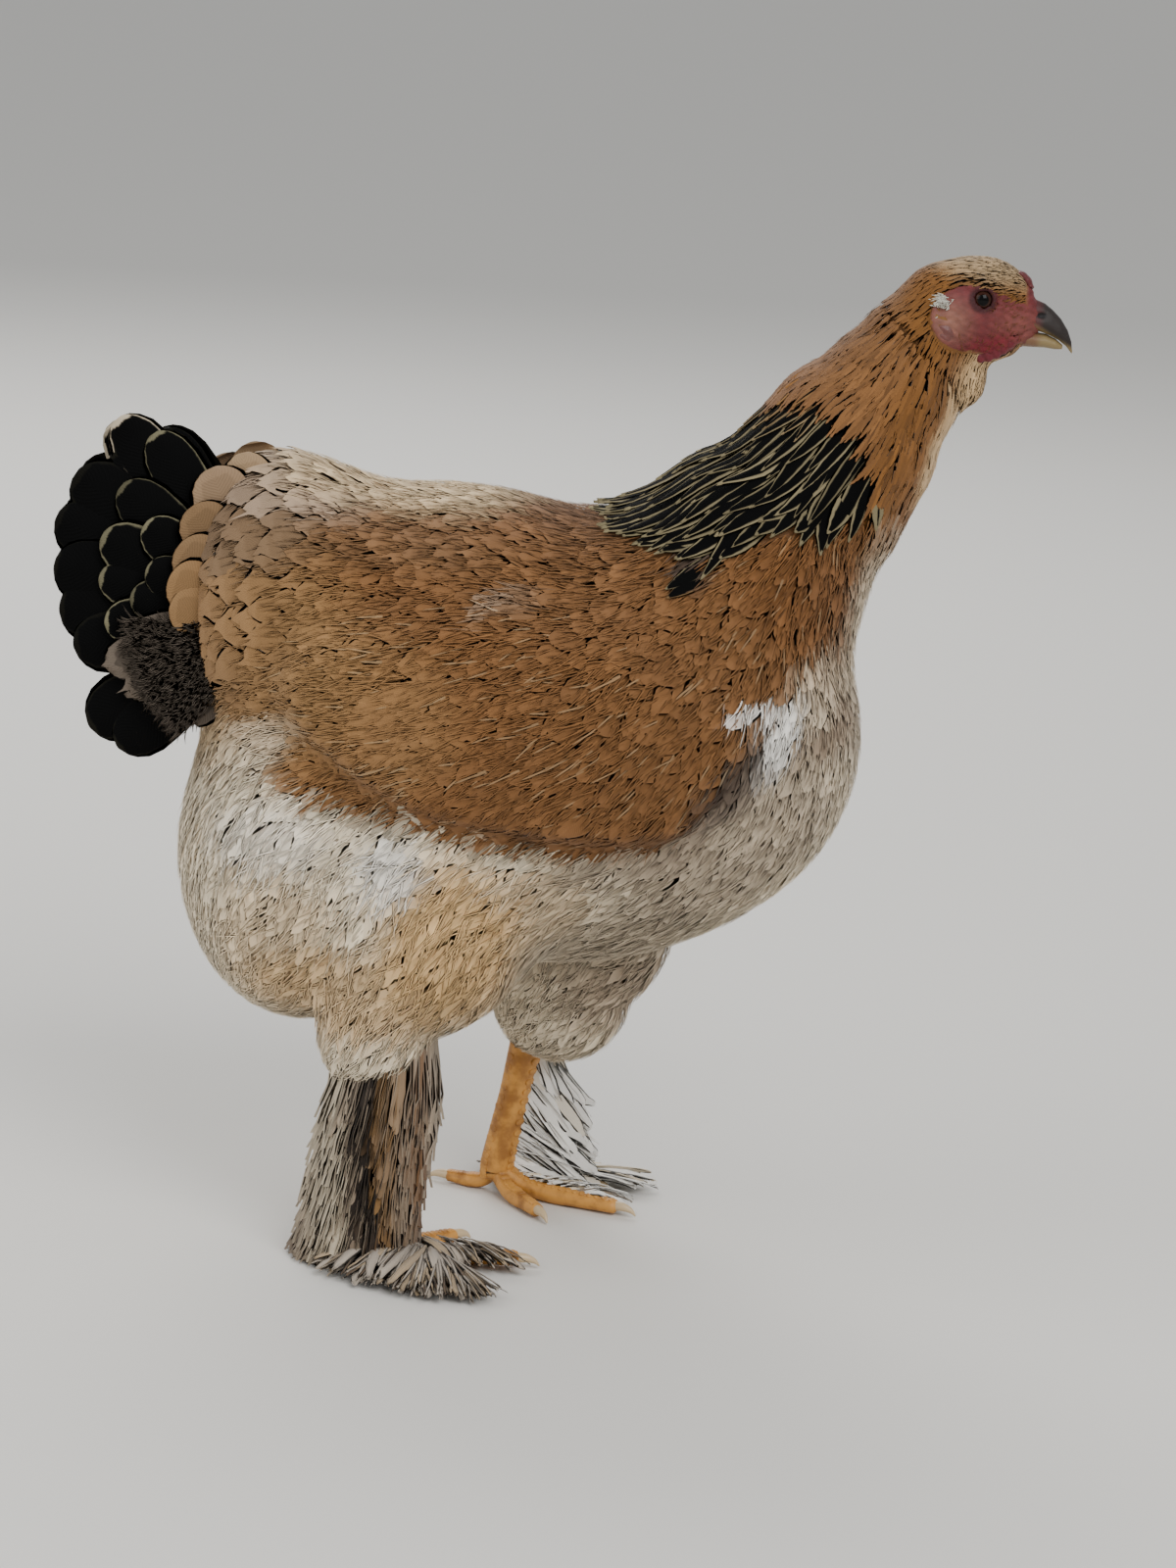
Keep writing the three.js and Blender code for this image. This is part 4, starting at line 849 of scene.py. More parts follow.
def plumage_material(name, roughness=0.8, gloss=0.15, sheen=0.1, crown=0.3, soft=0.22, barbs=26.0):
    """Vanes: a shaft, slanting barbs, and an edge in its own colour. crown is the rounded tip's share of the
    length, soft the width of the edge's fade, and barbs their number along the vane."""
    made, shader = new_material(name, roughness=roughness, Specular_IOR_Level=gloss, Sheen_Weight=sheen,
                                Sheen_Roughness=0.6)
    k = Nodes(made)
    uv = k.add("ShaderNodeUVMap", uv_map="Vane")
    u, v = k.split(uv.outputs[0])[:2]
    across = k.math("ABSOLUTE", k.math("SUBTRACT", k.math("MULTIPLY", u, 2.0), 1.0))
    tint, edge, pattern = k.attribute("Tint"), k.attribute("Edge"), k.attribute("Pattern")
    split = k.add("ShaderNodeSeparateColor")
    k.join(pattern.outputs["Color"], split.inputs[0])
    lace, start, luck, shaft = split.outputs[0], split.outputs[1], split.outputs[2], pattern.outputs["Alpha"]
    tip = k.math("DIVIDE", k.math("SUBTRACT", v, 1 - crown), crown)
    reach = k.math("MAXIMUM", across, tip)
    ragged = k.noise(9.0, uv.outputs[0], 2.0)
    reach = k.math("ADD", reach, k.math("MULTIPLY", k.math("SUBTRACT", ragged, 0.5), 0.2))
    past = k.math("DIVIDE", k.math("SUBTRACT", reach, start), soft)
    lacing = k.math("MULTIPLY", k.ramp(past, 0.0, 1.0), lace)
    slant = k.math("ADD", k.math("MULTIPLY", v, barbs), k.math("MULTIPLY", across, -7.0))
    slant = k.math("ADD", slant, k.math("MULTIPLY", luck, 20.0))
    wave = k.math("SINE", k.math("MULTIPLY", slant, 6.283))
    streak = k.math("ADD", 1.0, k.math("MULTIPLY", wave, 0.06))
    colour = k.blend(lacing, tint.outputs["Color"], edge.outputs["Color"])
    quill = k.math("MULTIPLY", k.ramp(across, 0.13, 0.03), shaft)
    colour = k.blend(quill, colour, edge.outputs["Color"])
    k.join(k.scaled(colour, streak), shader.inputs["Base Color"])
    k.bump(wave, shader, 0.25, 0.0002)
    return made


def skin_material():
    made, shader = new_material("skin", roughness=0.62, Specular_IOR_Level=0.3, Subsurface_Weight=0.08,
                                Subsurface_Scale=0.002)
    k = Nodes(made)
    place = k.place()
    fine, broad = k.noise(900.0, place, 4.0), k.noise(140.0, place, 3.0)
    shade = k.math("ADD", 0.72, k.math("MULTIPLY", broad, 0.55))
    k.join(k.scaled(k.attribute("Tint").outputs["Color"], shade), shader.inputs["Base Color"])
    k.bump(k.math("ADD", fine, broad), shader, 0.5, 0.0006)
    return made


@cache
def body_shape():
    return Shape(plumage_shape, (-190, -128, 66), (268, 128, 520), 3.0)


@cache
def face_shape():
    return Shape(head_shape, (156, -36, 424), (246, 36, 510), 0.9)


@cache
def body_surface():
    """The skin of the trunk, neck and thighs, which ends just inside the head."""
    return body_shape().surface(coat_depth, lambda p: past_plane(p, NECK_END))


@cache
def head_surface():
    """The skin of the head, which ends just inside the neck."""
    return face_shape().surface(coat_depth, lambda p: -past_plane(p, HEAD_START))


# Marks of the bare face: colour, its share of red, green and blue, place, reach, tilt, softness and strength.
FACE_MARKS = [
    ("rose", (0.72, 0.55, 0.52), (196, 475), (12, 12), 0, 1.0, 0.45),
    ("rose", (0.8, 0.46, 0.48), (232, 474), (16, 10), -10, 1.0, 0.25),
    ("comb", (1, 1, 1), (215, 463.5), (17, 5.5), 24, 0.8, 0.85),
]


def face_colour(p):
    """Colour of the head's skin: the bare red face, dark at the lids, and the coat's colour around it."""
    face = np.tile(hen_colour("face"), (len(p), 1))
    for name, shade, at, reach, tilt, soft, strength in FACE_MARKS:
        face = mix(face, hen_colour(name) * shade, strength * mark(p, at, reach, tilt, soft)[:, None])
    face = mix(face, hen_colour("comb") * 0.16, 0.85 * ease(7.4, 5.2, eye_ring(p))[:, None])
    x, z = p[:, 0], p[:, 2]
    blotch = np.sin(x * 0.9 + 2 * np.sin(z * 0.6)) * np.sin(z * 1.1 + np.sin(x * 0.5))
    return mix(coat_colour(p), face * (1 + 0.16 * blotch)[:, None], bare_share(p)[:, None])


class HEN_OT_skin(bpy.types.Operator):
    """Makes the skin of trunk, neck, thighs and head"""
    bl_idname = "hen.skin"
    bl_label = "Skin"

    def execute(self, context):
        points, faces = body_surface()
        more, heads = head_surface()
        tint = np.concatenate([coat_colour(points) * 0.95, face_colour(more)])
        faces = np.concatenate([faces, heads + len(points)])
        points = np.concatenate([points, more])
        piece = mesh_piece("skin", points, [faces], skin_material(), points_data={"Tint": tint})
        settled(piece, "face", "torso", "neck", "head", "thigh_right", "thigh_left")
        return {"FINISHED"}


def coat_parts(p):
    """Names the part of the coat that each point belongs to."""
    x, z = p[:, 0], p[:, 2]
    names = np.full(len(p), "flank", dtype="U8")
    names[(z < 215) | ((x < -100) & (z < 250))] = "fluff"
    names[(x > 96) & (z > 190)] = "breast"
    names[(z > 338) & (x < 96)] = "back"
    names[(x < -84) & (z > 296)] = "cushion"
    names[wing_share(p) > 0.35] = "wing"
    names[wing_share(p) > 0.35] = "wing"
    neck = (z > on_line(HACKLE_EDGE, x) + 6) & (x > 40) & (z > 350)
    names[neck] = "neck"
    names[neck & (black_share(p) > 0.5)] = "hackle"
    names[(past_plane(p, HEAD_START) > -4) & (z > 438)] = "head"
    return names


# Each part's feathers: length, half width, spacing, tip height, fringe, edge and shaft strength; then its
# loose barbs: share of the set length and spacing, and how much paler or darker they run.
Style = namedtuple("Style", "length half spacing tip fringe lace shaft barb_length barb_spacing barb_luck")
STYLES = {
    "wing": Style(26, 8.6, 6.6, 0.0, 0.08, 0.12, 0.2, 1.15, 0.87, 0.09),
    "flank": Style(26, 8.6, 6.6, 0.0, 0.08, 0.12, 0.1, 1.15, 0.87, 0.09),
    "back": Style(28, 9.5, 7.0, 0.3, 0.10, 0.25, 0.1, 1.1, 0.9, 0.10),
    "cushion": Style(32, 11.5, 7.6, 1.2, 0.12, 0.32, 0.0, 1.1, 1.0, 0.10),
    "breast": Style(23, 7.0, 5.8, 0.0, 0.08, 0.2, 0.2, 1.05, 0.9, 0.14),
    "fluff": Style(26, 7.2, 6.2, 0.3, 0.14, 0.12, 0.0, 1.8, 0.95, 0.09),
    "neck": Style(22, 2.7, 2.4, 0.1, 0.03, 0.4, 0.0, 1.0, 0.95, 0.16),
}


def part_roots(part, spacing, rng, over=5):
    """Roots over one part of the coat."""
    wanted = lambda p: (coat_parts(p) == part).astype(float)
    return scatter(body_surface(), lambda p: np.full(len(p), spacing), rng, wanted, over)


def body_feathers(part, rng):
    """The feathers of one part. Those of the neck are narrow and lie flat."""
    shape, style = body_shape(), STYLES[part]
    neck, cushion = part == "neck", part == "cushion"
    outline = POINTED if neck else ROUND
    roots = part_roots(part, style.spacing, rng)
    n = len(roots)
    size = rng.normal(1, 0.2 if cushion else 0.10, n).clip(0.7, 1.35)
    root = -coat_depth(roots) * (0.35 if neck else 1)
    tip = style.tip + rng.normal(0, 0.08 if neck else 0.2, n)
    made = lay_feathers(shape, roots, style.length * size, style.half * size, root, tip, outline,
                        3 if neck else 7, 0.5, style.fringe, rng, sway=0.10)
    tint = coat_colour(made[:, 4, made.shape[2] // 2])
    tint = tint * rng.normal(0.98, 0.16 if neck else 0.04, n).clip(0.6, 1.4)[:, None]
    return laid(shape, made, outline, roots, tint, tint * 1.5 + 0.015,
                pattern_of(n, rng, style.lace, 0.6, style.shaft), 0.68 if cushion else 0.8)


def loose_barbs(part, rng, spacing, length):
    """Single barbs that stand out of a part's feathers, with a few pale streaks on wing and breast."""
    shape, style, fluffy = body_shape(), STYLES[part], part == "fluff"
    roots = part_roots(part, spacing * style.barb_spacing, rng, 3)
    n = len(roots)
    start = rng.uniform(-2.4, 0.0, n)
    roots = shape.settle(roots, start)
    outline = CURL if fluffy else WISP
    streak = (rng.random(n) < (0.05 if part in ("wing", "breast") else 0.0)).astype(float)
    size = rng.uniform(0.6, 1.25, n) * style.barb_length
    half = rng.uniform(0.32, 0.62, n) * (1 + 0.5 * streak)
    tip = 0.9 + 0.5 * fluffy + rng.normal(0, 0.3, n) + 0.4 * streak
    made = lay_feathers(shape, roots, length * size, half, start, tip, outline, 3, 0, 0, rng,
                        sway=0.36 if fluffy else 0.2)
    tint = coat_colour(made[:, 1, 1] + rng.normal(0, 1.8, (n, 3)))
    tint = tint * rng.normal(1.02, style.barb_luck, n).clip(0.6, 1.5)[:, None]
    tint = mix(tint, hen_colour("buff") * 0.7, 0.25 * streak[:, None])
    return laid(shape, made, outline, roots, tint, tint, pattern_of(n, rng))


def one_side(batch, side):
    """The feathers of a batch that are rooted on one side of the bird."""
    kept = batch["points"][:, 0, batch["points"].shape[2] // 2, 1] * side > 0
    return {k: v[kept] if isinstance(v, np.ndarray) and len(v) == len(kept) else v for k, v in batch.items()}


QUILLS = 11  # in each wing


def flight_feathers(rng):
    """The long quills of the folded wings, one over the next and nearly hidden by small feathers."""
    shape = body_shape()
    k = np.tile(np.arange(float(QUILLS)), 2)
    t = k / (QUILLS - 1)
    n = len(k)
    side = np.repeat([-1.0, 1.0], QUILLS)
    roots = np.stack([mix(72, 30, t), side * 100, mix(232, 300, t)], 1)
    roots = shape.settle(roots, 0.0, 8)
    down = np.radians(mix(-1, 9, t))
    flow = lambda p: np.stack([-np.cos(down), 0 * down, -np.sin(down)], 1)
    length = mix(96, 118, np.sin(t * math.pi)) * rng.uniform(0.94, 1.05, n)
    made = lay_feathers(shape, roots, length, mix(9.5, 8, t), -2.0, mix(-0.5, 0.3, t), ROUND, 7, 0.8, 0.03,
                        rng, flow, rise=0.5)
    tint = coat_colour(made.reshape(-1, 3)).reshape(n, -1, 3)
    pattern = pattern_of(n, rng, 0.5, 0.86, 0.25)
    return laid(shape, made, ROUND, roots, tint * 0.98, tint * 0.72, pattern, 0.7, 0.006)


class HEN_OT_coat(bpy.types.Operator):
    """Lays the feathers of body, wings and thighs"""
    bl_idname = "hen.coat"
    bl_label = "Body coat"

    def execute(self, context):
        kit = context.scene.hen_coat
        rng = seeded(0)
        material = plumage_material("plumage")
        slots = {"wing": "wing", "fluff": "fluff", "neck": "hackle"}
        for part in STYLES:
            slot = slots.get(part, "plumage")
            batch = body_feathers(part, rng)
            if part == "wing":
                quills = flight_feathers(rng)
                for name, side in SIDES.items():
                    batches = [one_side(batch, side), one_side(quills, side)]
                    settled(feather_piece(f"feathers_wing_{name}", batches, material), slot, f"wing_{name}")
            else:
                settled(feather_piece(f"feathers_{part}", [batch], material), slot)
            loose = loose_barbs(part, rng, kit.wisp_spacing * 1000, kit.wisp_length * 1000)
            for name, side in SIDES.items():
                settled(feather_piece(f"barbs_{part}_{name}", [one_side(loose, side)], material), slot)
        return {"FINISHED"}
def edge_distance(p):
    """How far a feather rooted at p can run before it passes the hackle's lower edge."""
    way = lie(p)
    run = np.full(len(p), 40.0)
    for _ in range(6):
        q = p + way * run[:, None]
        run = run + (q[:, 2] - on_line(HACKLE_EDGE, q[:, 0])) / np.maximum(-way[:, 2], 0.25) * 0.7
    return run


class HEN_OT_hackle(bpy.types.Operator):
    """Lays the long hackle feathers over neck and shoulders"""
    bl_idname = "hen.hackle"
    bl_label = "Hackle"

    def execute(self, context):
        rng = seeded(1)
        shape = body_shape()
        size_at = lambda p: mix(1.0, 0.4, ease(395, 470, p[:, 2]))
        wanted = lambda p: ((black_share(p) > 0.12) & (edge_distance(p) > 24)).astype(float)
        roots = scatter(body_surface(), lambda p: 7.4 * size_at(p), rng, wanted)
        n = len(roots)
        size = size_at(roots)
        length = np.minimum(66 * size, edge_distance(roots) * rng.uniform(0.9, 1.07, n))
        tip = mix(2.6, 0.4, ease(400, 455, roots[:, 2])) + rng.normal(0, 0.5, n)
        half = 5.6 * size * rng.uniform(0.8, 1.2, n)
        made = lay_feathers(shape, roots, length, half, -coat_depth(roots), tip, POINTED, 7, 1.0, 0.02, rng,
                            rise=0.8, sway=0.10)
        middle = made[:, 3, 3]
        share = black_share(middle) * rng.uniform(0.85, 1.1, n)
        tint = np.tile(hen_colour("black"), (n, 1))
        edge = mix(coat_colour(middle) * 1.25, hen_colour("lace"), ease(450, 415, middle[:, 2])[:, None])
        edge = edge * rng.normal(1, 0.14, n).clip(0.6, 1.4)[:, None]
        start = mix(-0.15, 0.56, np.clip(share, 0, 1))
        batch = laid(shape, made, POINTED, roots, tint, edge, pattern_of(n, rng, 1.0, start), 0.5)
        # Two stray black feathers lie on each shoulder under the hackle's edge.
        stray = shape.settle(np.array([(96.0, side * 70, z) for side in (-1, 1) for z in (368.0, 362.0)]), -4)
        extra = lay_feathers(shape, stray, np.array([34.0, 30.0] * 2), np.full(4, 5.2), -4, np.full(4, 2.4),
                             POINTED, 7, 1.0, 0.02, rng, rise=0.5)
        loose = laid(shape, extra, POINTED, stray, tint[:4], edge[:4], pattern_of(4, rng, 1.0, 0.66), 0.5)
        material = plumage_material("hackle", 0.75, 0.05, 0.0, 0.1, 0.14, 34)
        settled(feather_piece("hackle", [batch, loose], material), "hackle", "neck")
        return {"FINISHED"}


# Tail: the feathers of one side, from the quills at the back of the fan to the lobes of the cushion over
# them. Each has a turn upwards from straight back, the reach of its tip, half width, where it starts, how far
# out it lies, and its kind.
BLACK, GREY_EDGE, PALE_EDGE, GREY, LOBE = range(5)
TAIL = [
    (53, 104, 14, 30, 0.0, BLACK), (41, 111, 17, 30, 0.4, BLACK), (30, 118, 19, 30, 0.9, BLACK),
    (19, 116, 18, 30, 0.2, BLACK), (8, 110, 18, 30, 0.9, BLACK), (-3, 105, 18, 30, 0.1, BLACK),
    (-13, 99, 16, 30, 0.8, BLACK), (-35, 105, 17, 30, 0.3, BLACK), (-44, 99, 15, 30, 1.0, BLACK),
    (46, 121, 15, 36, 2.6, PALE_EDGE), (51, 105, 14, 30, 4.4, GREY_EDGE), (35, 97, 15, 26, 4.0, GREY_EDGE),
    (20, 92, 15, 26, 5.6, GREY_EDGE), (31, 77, 13, 22, 7.6, GREY_EDGE), (8, 87, 13, 24, 4.4, GREY_EDGE),
    (-6, 82, 13, 24, 6.0, GREY_EDGE), (4, 70, 12, 20, 8.0, GREY_EDGE), (17, 66, 12, 18, 9.2, GREY_EDGE),
    (-20, 84, 13, 22, 6.8, GREY), (-30, 80, 12, 20, 5.6, GREY), (-12, 68, 12, 18, 9.0, GREY),
    (-41, 72, 12, 20, 7.0, GREY), (-26, 66, 12, 18, 9.6, GREY), (-52, 64, 12, 18, 8.0, GREY),
    (74, 80, 14, 26, 7.0, LOBE), (62, 78, 16, 26, 10.0, LOBE), (49, 67, 15, 20, 12.0, LOBE),
    (34, 58, 15, 14, 13.0, LOBE), (18, 54, 15, 12, 14.0, LOBE), (3, 50, 13, 10, 14.0, LOBE),
]


def tail_side(turn, reach):
    """How far the tail's side lies from the middle, by turn and reach."""
    share = (TAIL_TOP - turn) / (TAIL_TOP - TAIL_LOW)
    return mix(mix(26, 36, share), mix(7, 34, share), np.clip((reach - 40) / 70, 0, 1))

class HEN_OT_tail(bpy.types.Operator):
    """Fans the black tail quills and their laced coverts"""
    bl_idname = "hen.tail"
    bl_label = "Tail"

    def execute(self, context):
        rng = seeded(2)
        material = plumage_material("tail", 0.7, 0.06, 0.0, 0.2, 0.08, 34)
        batches = []
        for side in (-1, 1):
            batches += [self.quills(side, rng), self.down(side, rng)]
        settled(feather_piece("tail_feathers", batches, material), "tail", "tail_right", "tail_left")
        return {"FINISHED"}

    def quills(self, side, rng):
        """The fan of one side. Each vane droops a little below its shaft and cups towards the body."""
        turns, reaches, halves, starts, outs, kinds = np.array(TAIL, float).T
        n = len(TAIL)
        angle = np.radians(turns + (0 if side < 0 else rng.normal(0, 2.0, n)))
        across = np.linspace(-1, 1, 9)
        made = np.zeros((n, len(QUILL[0]), len(across), 3))
        for k, (t, width) in enumerate(zip(*QUILL)):
            r = mix(starts, reaches, t)
            y = tail_side(turns, r) + mix(-7, outs, t ** 0.6)
            for m, c in enumerate(across):
                w = halves * width * c
                frayed = r + rng.normal(0, 1.4, n) * (kinds == GREY) * (t > 0.5)
                made[:, k, m, 0] = TAIL_ROOT[0] - np.cos(angle) * frayed + np.sin(angle) * w * side
                made[:, k, m, 1] = side * (y - 2.4 * c * c * t - 0.10 * w * side)
                made[:, k, m, 2] = TAIL_ROOT[2] + np.sin(angle) * frayed + np.cos(angle) * w * side
        soft, lobe, pale = kinds >= GREY, kinds == LOBE, kinds == PALE_EDGE
        grey = hen_colour("grey") * (0.20, 0.21, 0.23) * rng.uniform(0.7, 1.25, n)[:, None]
        tint = np.where(soft[:, None], grey, hen_colour("black") * 0.5)
        cushion = mix(coat_colour(made[:, 5, 4] + (18.0, 0, 0)), hen_colour("dusk"), 0.6)
        tint = np.where(lobe[:, None], cushion, tint)
        edge = hen_colour("lace") * (0.62, 0.68, 0.72) * rng.uniform(0.6, 1.4, n)[:, None]
        edge = np.where(pale[:, None], hen_colour("cream") * 0.62, edge)
        edge = np.where(soft[:, None], tint * np.where(lobe, 1.3, 2.2)[:, None], edge)
        strength = np.select([kinds == BLACK, soft], [0.05, 0.6], 1.0)
        start = np.where(soft, 0.5, np.where(pale, 0.80, rng.uniform(0.72, 0.84, n)))
        pattern = pattern_of(n, rng, strength, start)
        return batch_of(made, QUILL, tint, edge, pattern, unwrap(made[:, 0, 4]), made, 0.0, 0.006)

    def down(self, side, rng):
        """Soft grey barbs under the tail's root."""
        n = 1500
        turn, start = rng.uniform(-56, -4, n), rng.uniform(34, 68, n)
        angle, length = np.radians(turn + rng.normal(0, 13, n)), rng.uniform(6, 11, n)
        half, out = rng.uniform(0.28, 0.5, n), rng.uniform(8, 11, n)
        ways = np.stack([-np.cos(angle), np.zeros(n), np.sin(angle)], 1)
        cross = np.stack([np.sin(angle), np.zeros(n), np.cos(angle)], 1) * side
        first = np.radians(turn)
        root = np.stack([TAIL_ROOT[0] - np.cos(first) * start, side * (tail_side(turn, start) + out),
                         TAIL_ROOT[2] + np.sin(first) * start], 1)
        bend = rng.normal(0, 3.5, n)
        made = np.zeros((n, len(CURL[0]), 3, 3))
        for k, (t, width) in enumerate(zip(*CURL)):
            line = root + ways * (length * t)[:, None] + cross * (bend * t * t)[:, None]
            line = line + (0, side * -2.5 * t * t, 0)
            for m, c in enumerate((-1, 0, 1)):
                made[:, k, m] = line + cross * (half * width * c)[:, None] + (0, side * 0.3 * (1 - c * c), 0)
        tint = hen_colour("grey") * (0.36, 0.38, 0.42) * rng.uniform(0.85, 1.15, n)[:, None]
        facing = np.broadcast_to(unit(np.array((-0.3, side * 0.9, 0.4))), made.shape)
        return batch_of(made, CURL, tint, tint, pattern_of(n, rng), unwrap(root), facing, 0.85)


# Head

NOSTRIL = (240.6, 480.2, 2.4, 1.3)  # place in the side view and half sizes
# The two halves of the bill as sections: x, z, half width, rise above and depth below.
BILL_UPPER = [
    (232, 477, 7.2, 10.6, 3.4), (237, 476.8, 7.1, 10.6, 3.8), (242, 475.9, 6.4, 9.8, 4.0),
    (246, 474.6, 5.6, 8.4, 4.0), (250.5, 472.4, 4.4, 6.6, 3.7), (254.3, 469.2, 2.9, 4.6, 3.2),
    (256.6, 465.9, 1.5, 2.6, 2.4), (257.3, 463.8, 0.5, 1.0, 1.0),
]
BILL_LOWER = [
    (230, 468.4, 6.2, 3.2, 4.2), (238, 468.4, 5.6, 3.4, 4.0), (244, 468, 4.6, 3.2, 3.4),
    (249, 466.8, 3.0, 2.4, 2.6), (252.4, 465.6, 1.0, 1.1, 1.1),
]
BILL_ROWS, BILL_SIDES = 60, 56


def bill_half(profile, material, name, node):
    """A closed half of the bill, with the hollow of the nostril where it reaches that far up."""
    rows = np.array(profile, float)
    fine = np.linspace(0, len(rows) - 1, BILL_ROWS)
    cols = [np.interp(fine, np.arange(len(rows)), rows[:, c]) for c in range(5)]
    turn = np.linspace(0, 2 * math.pi, BILL_SIDES, endpoint=False)
    s, c = np.sin(turn), np.cos(turn)
    rings = []
    for x, z, half, up, down in zip(*cols):
        wide = c * half * (1 - 0.12 * np.maximum(s, 0))
        rings.append(np.stack([np.full(BILL_SIDES, x), wide, z + s * np.where(s > 0, up, down)], 1))
    ends = [[[cols[0][0], 0, cols[1][0]]], [[cols[0][-1] + 0.3, 0, cols[1][-1]]]]
    points = np.concatenate(rings + ends)
    x, z = points[:, 0], points[:, 2]
    hole = np.square((x - NOSTRIL[0]) / NOSTRIL[2]) + np.square((z - NOSTRIL[1]) / NOSTRIL[3])
    points[:, 1] *= 1 - 0.32 * np.exp(-hole * 1.2)
    faces, caps = tube_faces(BILL_ROWS, BILL_SIDES)
    return settled(mesh_piece(name, points, [faces, caps], material), "horn", node)


def bill_material():
    made, shader = new_material("bill", roughness=0.42, Specular_IOR_Level=0.3)
    k = Nodes(made)
    horn, culmen, face = (tuple(hen_colour(name)) for name in ("horn", "culmen", "face"))
    x, _, z = k.split(k.place())
    # The dark ridge follows the bend of the bill: height over a line that falls towards the tip.
    fall = k.math("MULTIPLY", k.math("SUBTRACT", x, (SHIFT + 238) / 1000), 0.55)
    height = k.math("ADD", z, fall)
    streak = k.math("MULTIPLY", k.math("SUBTRACT", k.noise(300.0), 0.5), 0.003)
    height = k.math("ADD", height, streak)
    colour = k.blend(k.ramp(height, 0.4745, 0.4775), horn, culmen)
    rear = k.ramp(k.math("MULTIPLY", x, -1.0), -(SHIFT + 243) / 1000, -(SHIFT + 238) / 1000)
    colour = k.blend(k.math("MULTIPLY", rear, 0.5), colour, face)
    square = lambda value, at, reach: k.math(
        "POWER", k.math("DIVIDE", k.math("SUBTRACT", value, at / 1000), reach / 1000), 2.0)
    # Painted shade: the nostril is coloured near black for the dark inside of its opening.
    hole = k.math("ADD", square(x, SHIFT + NOSTRIL[0], NOSTRIL[2]), square(z, NOSTRIL[1], NOSTRIL[3]))
    colour = k.blend(k.ramp(k.math("SQRT", hole), 1.3, 0.8), colour, (0.004, 0.002, 0.002))
    k.join(colour, shader.inputs["Base Color"])
    k.bump(k.noise(700.0), shader, 0.3, 0.0003)
    return made


def lump_piece(name, rule, low, high, cell, material, slot, node):
    points, faces = Shape(rule, low, high, cell).surface()
    return settled(mesh_piece(name, points, [faces], material), slot, node)


def flesh_material(name, colour):
    made, shader = new_material(name, tuple(colour), 0.42, Specular_IOR_Level=0.4, Subsurface_Weight=0.12,
                                Subsurface_Scale=0.002)
    k = Nodes(made)
    grain = k.noise(420.0, k.place(), 4.0)
    k.join(k.blend(grain, tuple(c * 0.6 for c in colour), tuple(colour)), shader.inputs["Base Color"])
    k.bump(grain, shader, 0.6, 0.0006)
    return made


COMB_ROWS, COMB_BEADS = (-1, 0, 1), 7


def comb_beads(p):
    """Three low rows of beads over the forehead, the middle row the tallest."""
    f = np.full(len(p), 50.0)
    for row in COMB_ROWS:
        for n in range(COMB_BEADS):
            x = mix(244, 231, n / (COMB_BEADS - 1)) - abs(row) * 1.4
            base = face_shape().settle(np.array([[x, row * 3.1, 500.0]]), 0.0, 6)[0]
            tall = (1.5 if row == 0 else 1.0) * math.sin(math.pi * (n + 0.8) / 7.6) ** 0.6
            bead = ellipsoid(p, (base[0], base[1], base[2] + tall * 0.2), (1.7, 1.5, 0.7 + tall * 0.62))
            f = blend(f, bead, 1.1)
    return f


def wattle_fold(p, side):
    f = ellipsoid(p, (217.5, side * 9.0, 461.5), (9.5, 2.0, 4.6), 24)
    f = blend(f, ellipsoid(p, (224, side * 8.6, 465.6), (7.0, 1.9, 3.2), 26), 2)
    return f - 0.35 * np.sin(p[:, 0] * 1.3 + p[:, 2] * 0.8)


def ear_lobe(p, side):
    f = ellipsoid(p, (194.5, side * 19.0, 470), (4.4, 2.0, 5.2), 20)
    return f - 0.3 * np.sin(p[:, 2] * 1.5 + p[:, 0] * 0.8)


class HEN_OT_face(bpy.types.Operator):
    """Makes eyes, bill, comb, wattles and ear lobes"""
    bl_idname = "hen.face"
    bl_label = "Face"

    def execute(self, context):
        bill = bill_material()
        bill_half(BILL_UPPER, bill, "bill_upper", "beak_upper")
        bill_half(BILL_LOWER, bill, "bill_lower", "beak_lower")
        comb = flesh_material("comb", hen_colour("face") * (1.0, 0.8, 0.8))
        lump_piece("comb_beads", comb_beads, (212, -8, 476), (246, 8, 506), 0.5, comb, "comb", "comb")
        wattle = flesh_material("wattle", hen_colour("comb"))
        lobe = flesh_material("earlobe", mix(hen_colour("face"), hen_colour("rose"), 0.10))
        for name, side in SIDES.items():
            lump_piece(f"wattle_fold_{name}", lambda p: wattle_fold(p, side), (203, side * 9 - 6, 450),
                       (236, side * 9 + 6, 476), 0.6, wattle, "wattle", f"wattle_{name}")
            lump_piece(f"ear_lobe_{name}", lambda p: ear_lobe(p, side), (186, side * 20 - 5, 462),
                       (201, side * 20 + 5, 480), 0.6, lobe, "earlobe", f"earlobe_{name}")
            eye_piece(name, side)
        return {"FINISHED"}


def eye_material(name, side):
    """Black pupil, brown ring and dark rim, by the distance from the eye's middle in the side view."""
    made, shader = new_material(f"eye_{name}", roughness=0.1, Specular_IOR_Level=0.14)
    k = Nodes(made)
    centre = k.add("ShaderNodeVectorMath", operation="SUBTRACT")
    k.join(k.place(), centre.inputs[0])
    centre.inputs[1].default_value = in_frame((EYE[0], side * EYE[1], EYE[2])).tolist()
    x, _, z = k.split(centre.outputs[0])
    ring = k.math("SQRT", k.math("ADD", k.math("MULTIPLY", x, x), k.math("MULTIPLY", z, z)))
    iris = k.blend(k.ramp(ring, 0.0025, 0.0029), (0.001, 0.001, 0.001), tuple(hen_colour("iris")))
    colour = k.blend(k.ramp(ring, 0.0036, 0.0042), iris, (0.006, 0.003, 0.002))
    k.join(colour, shader.inputs["Base Color"])
    return made


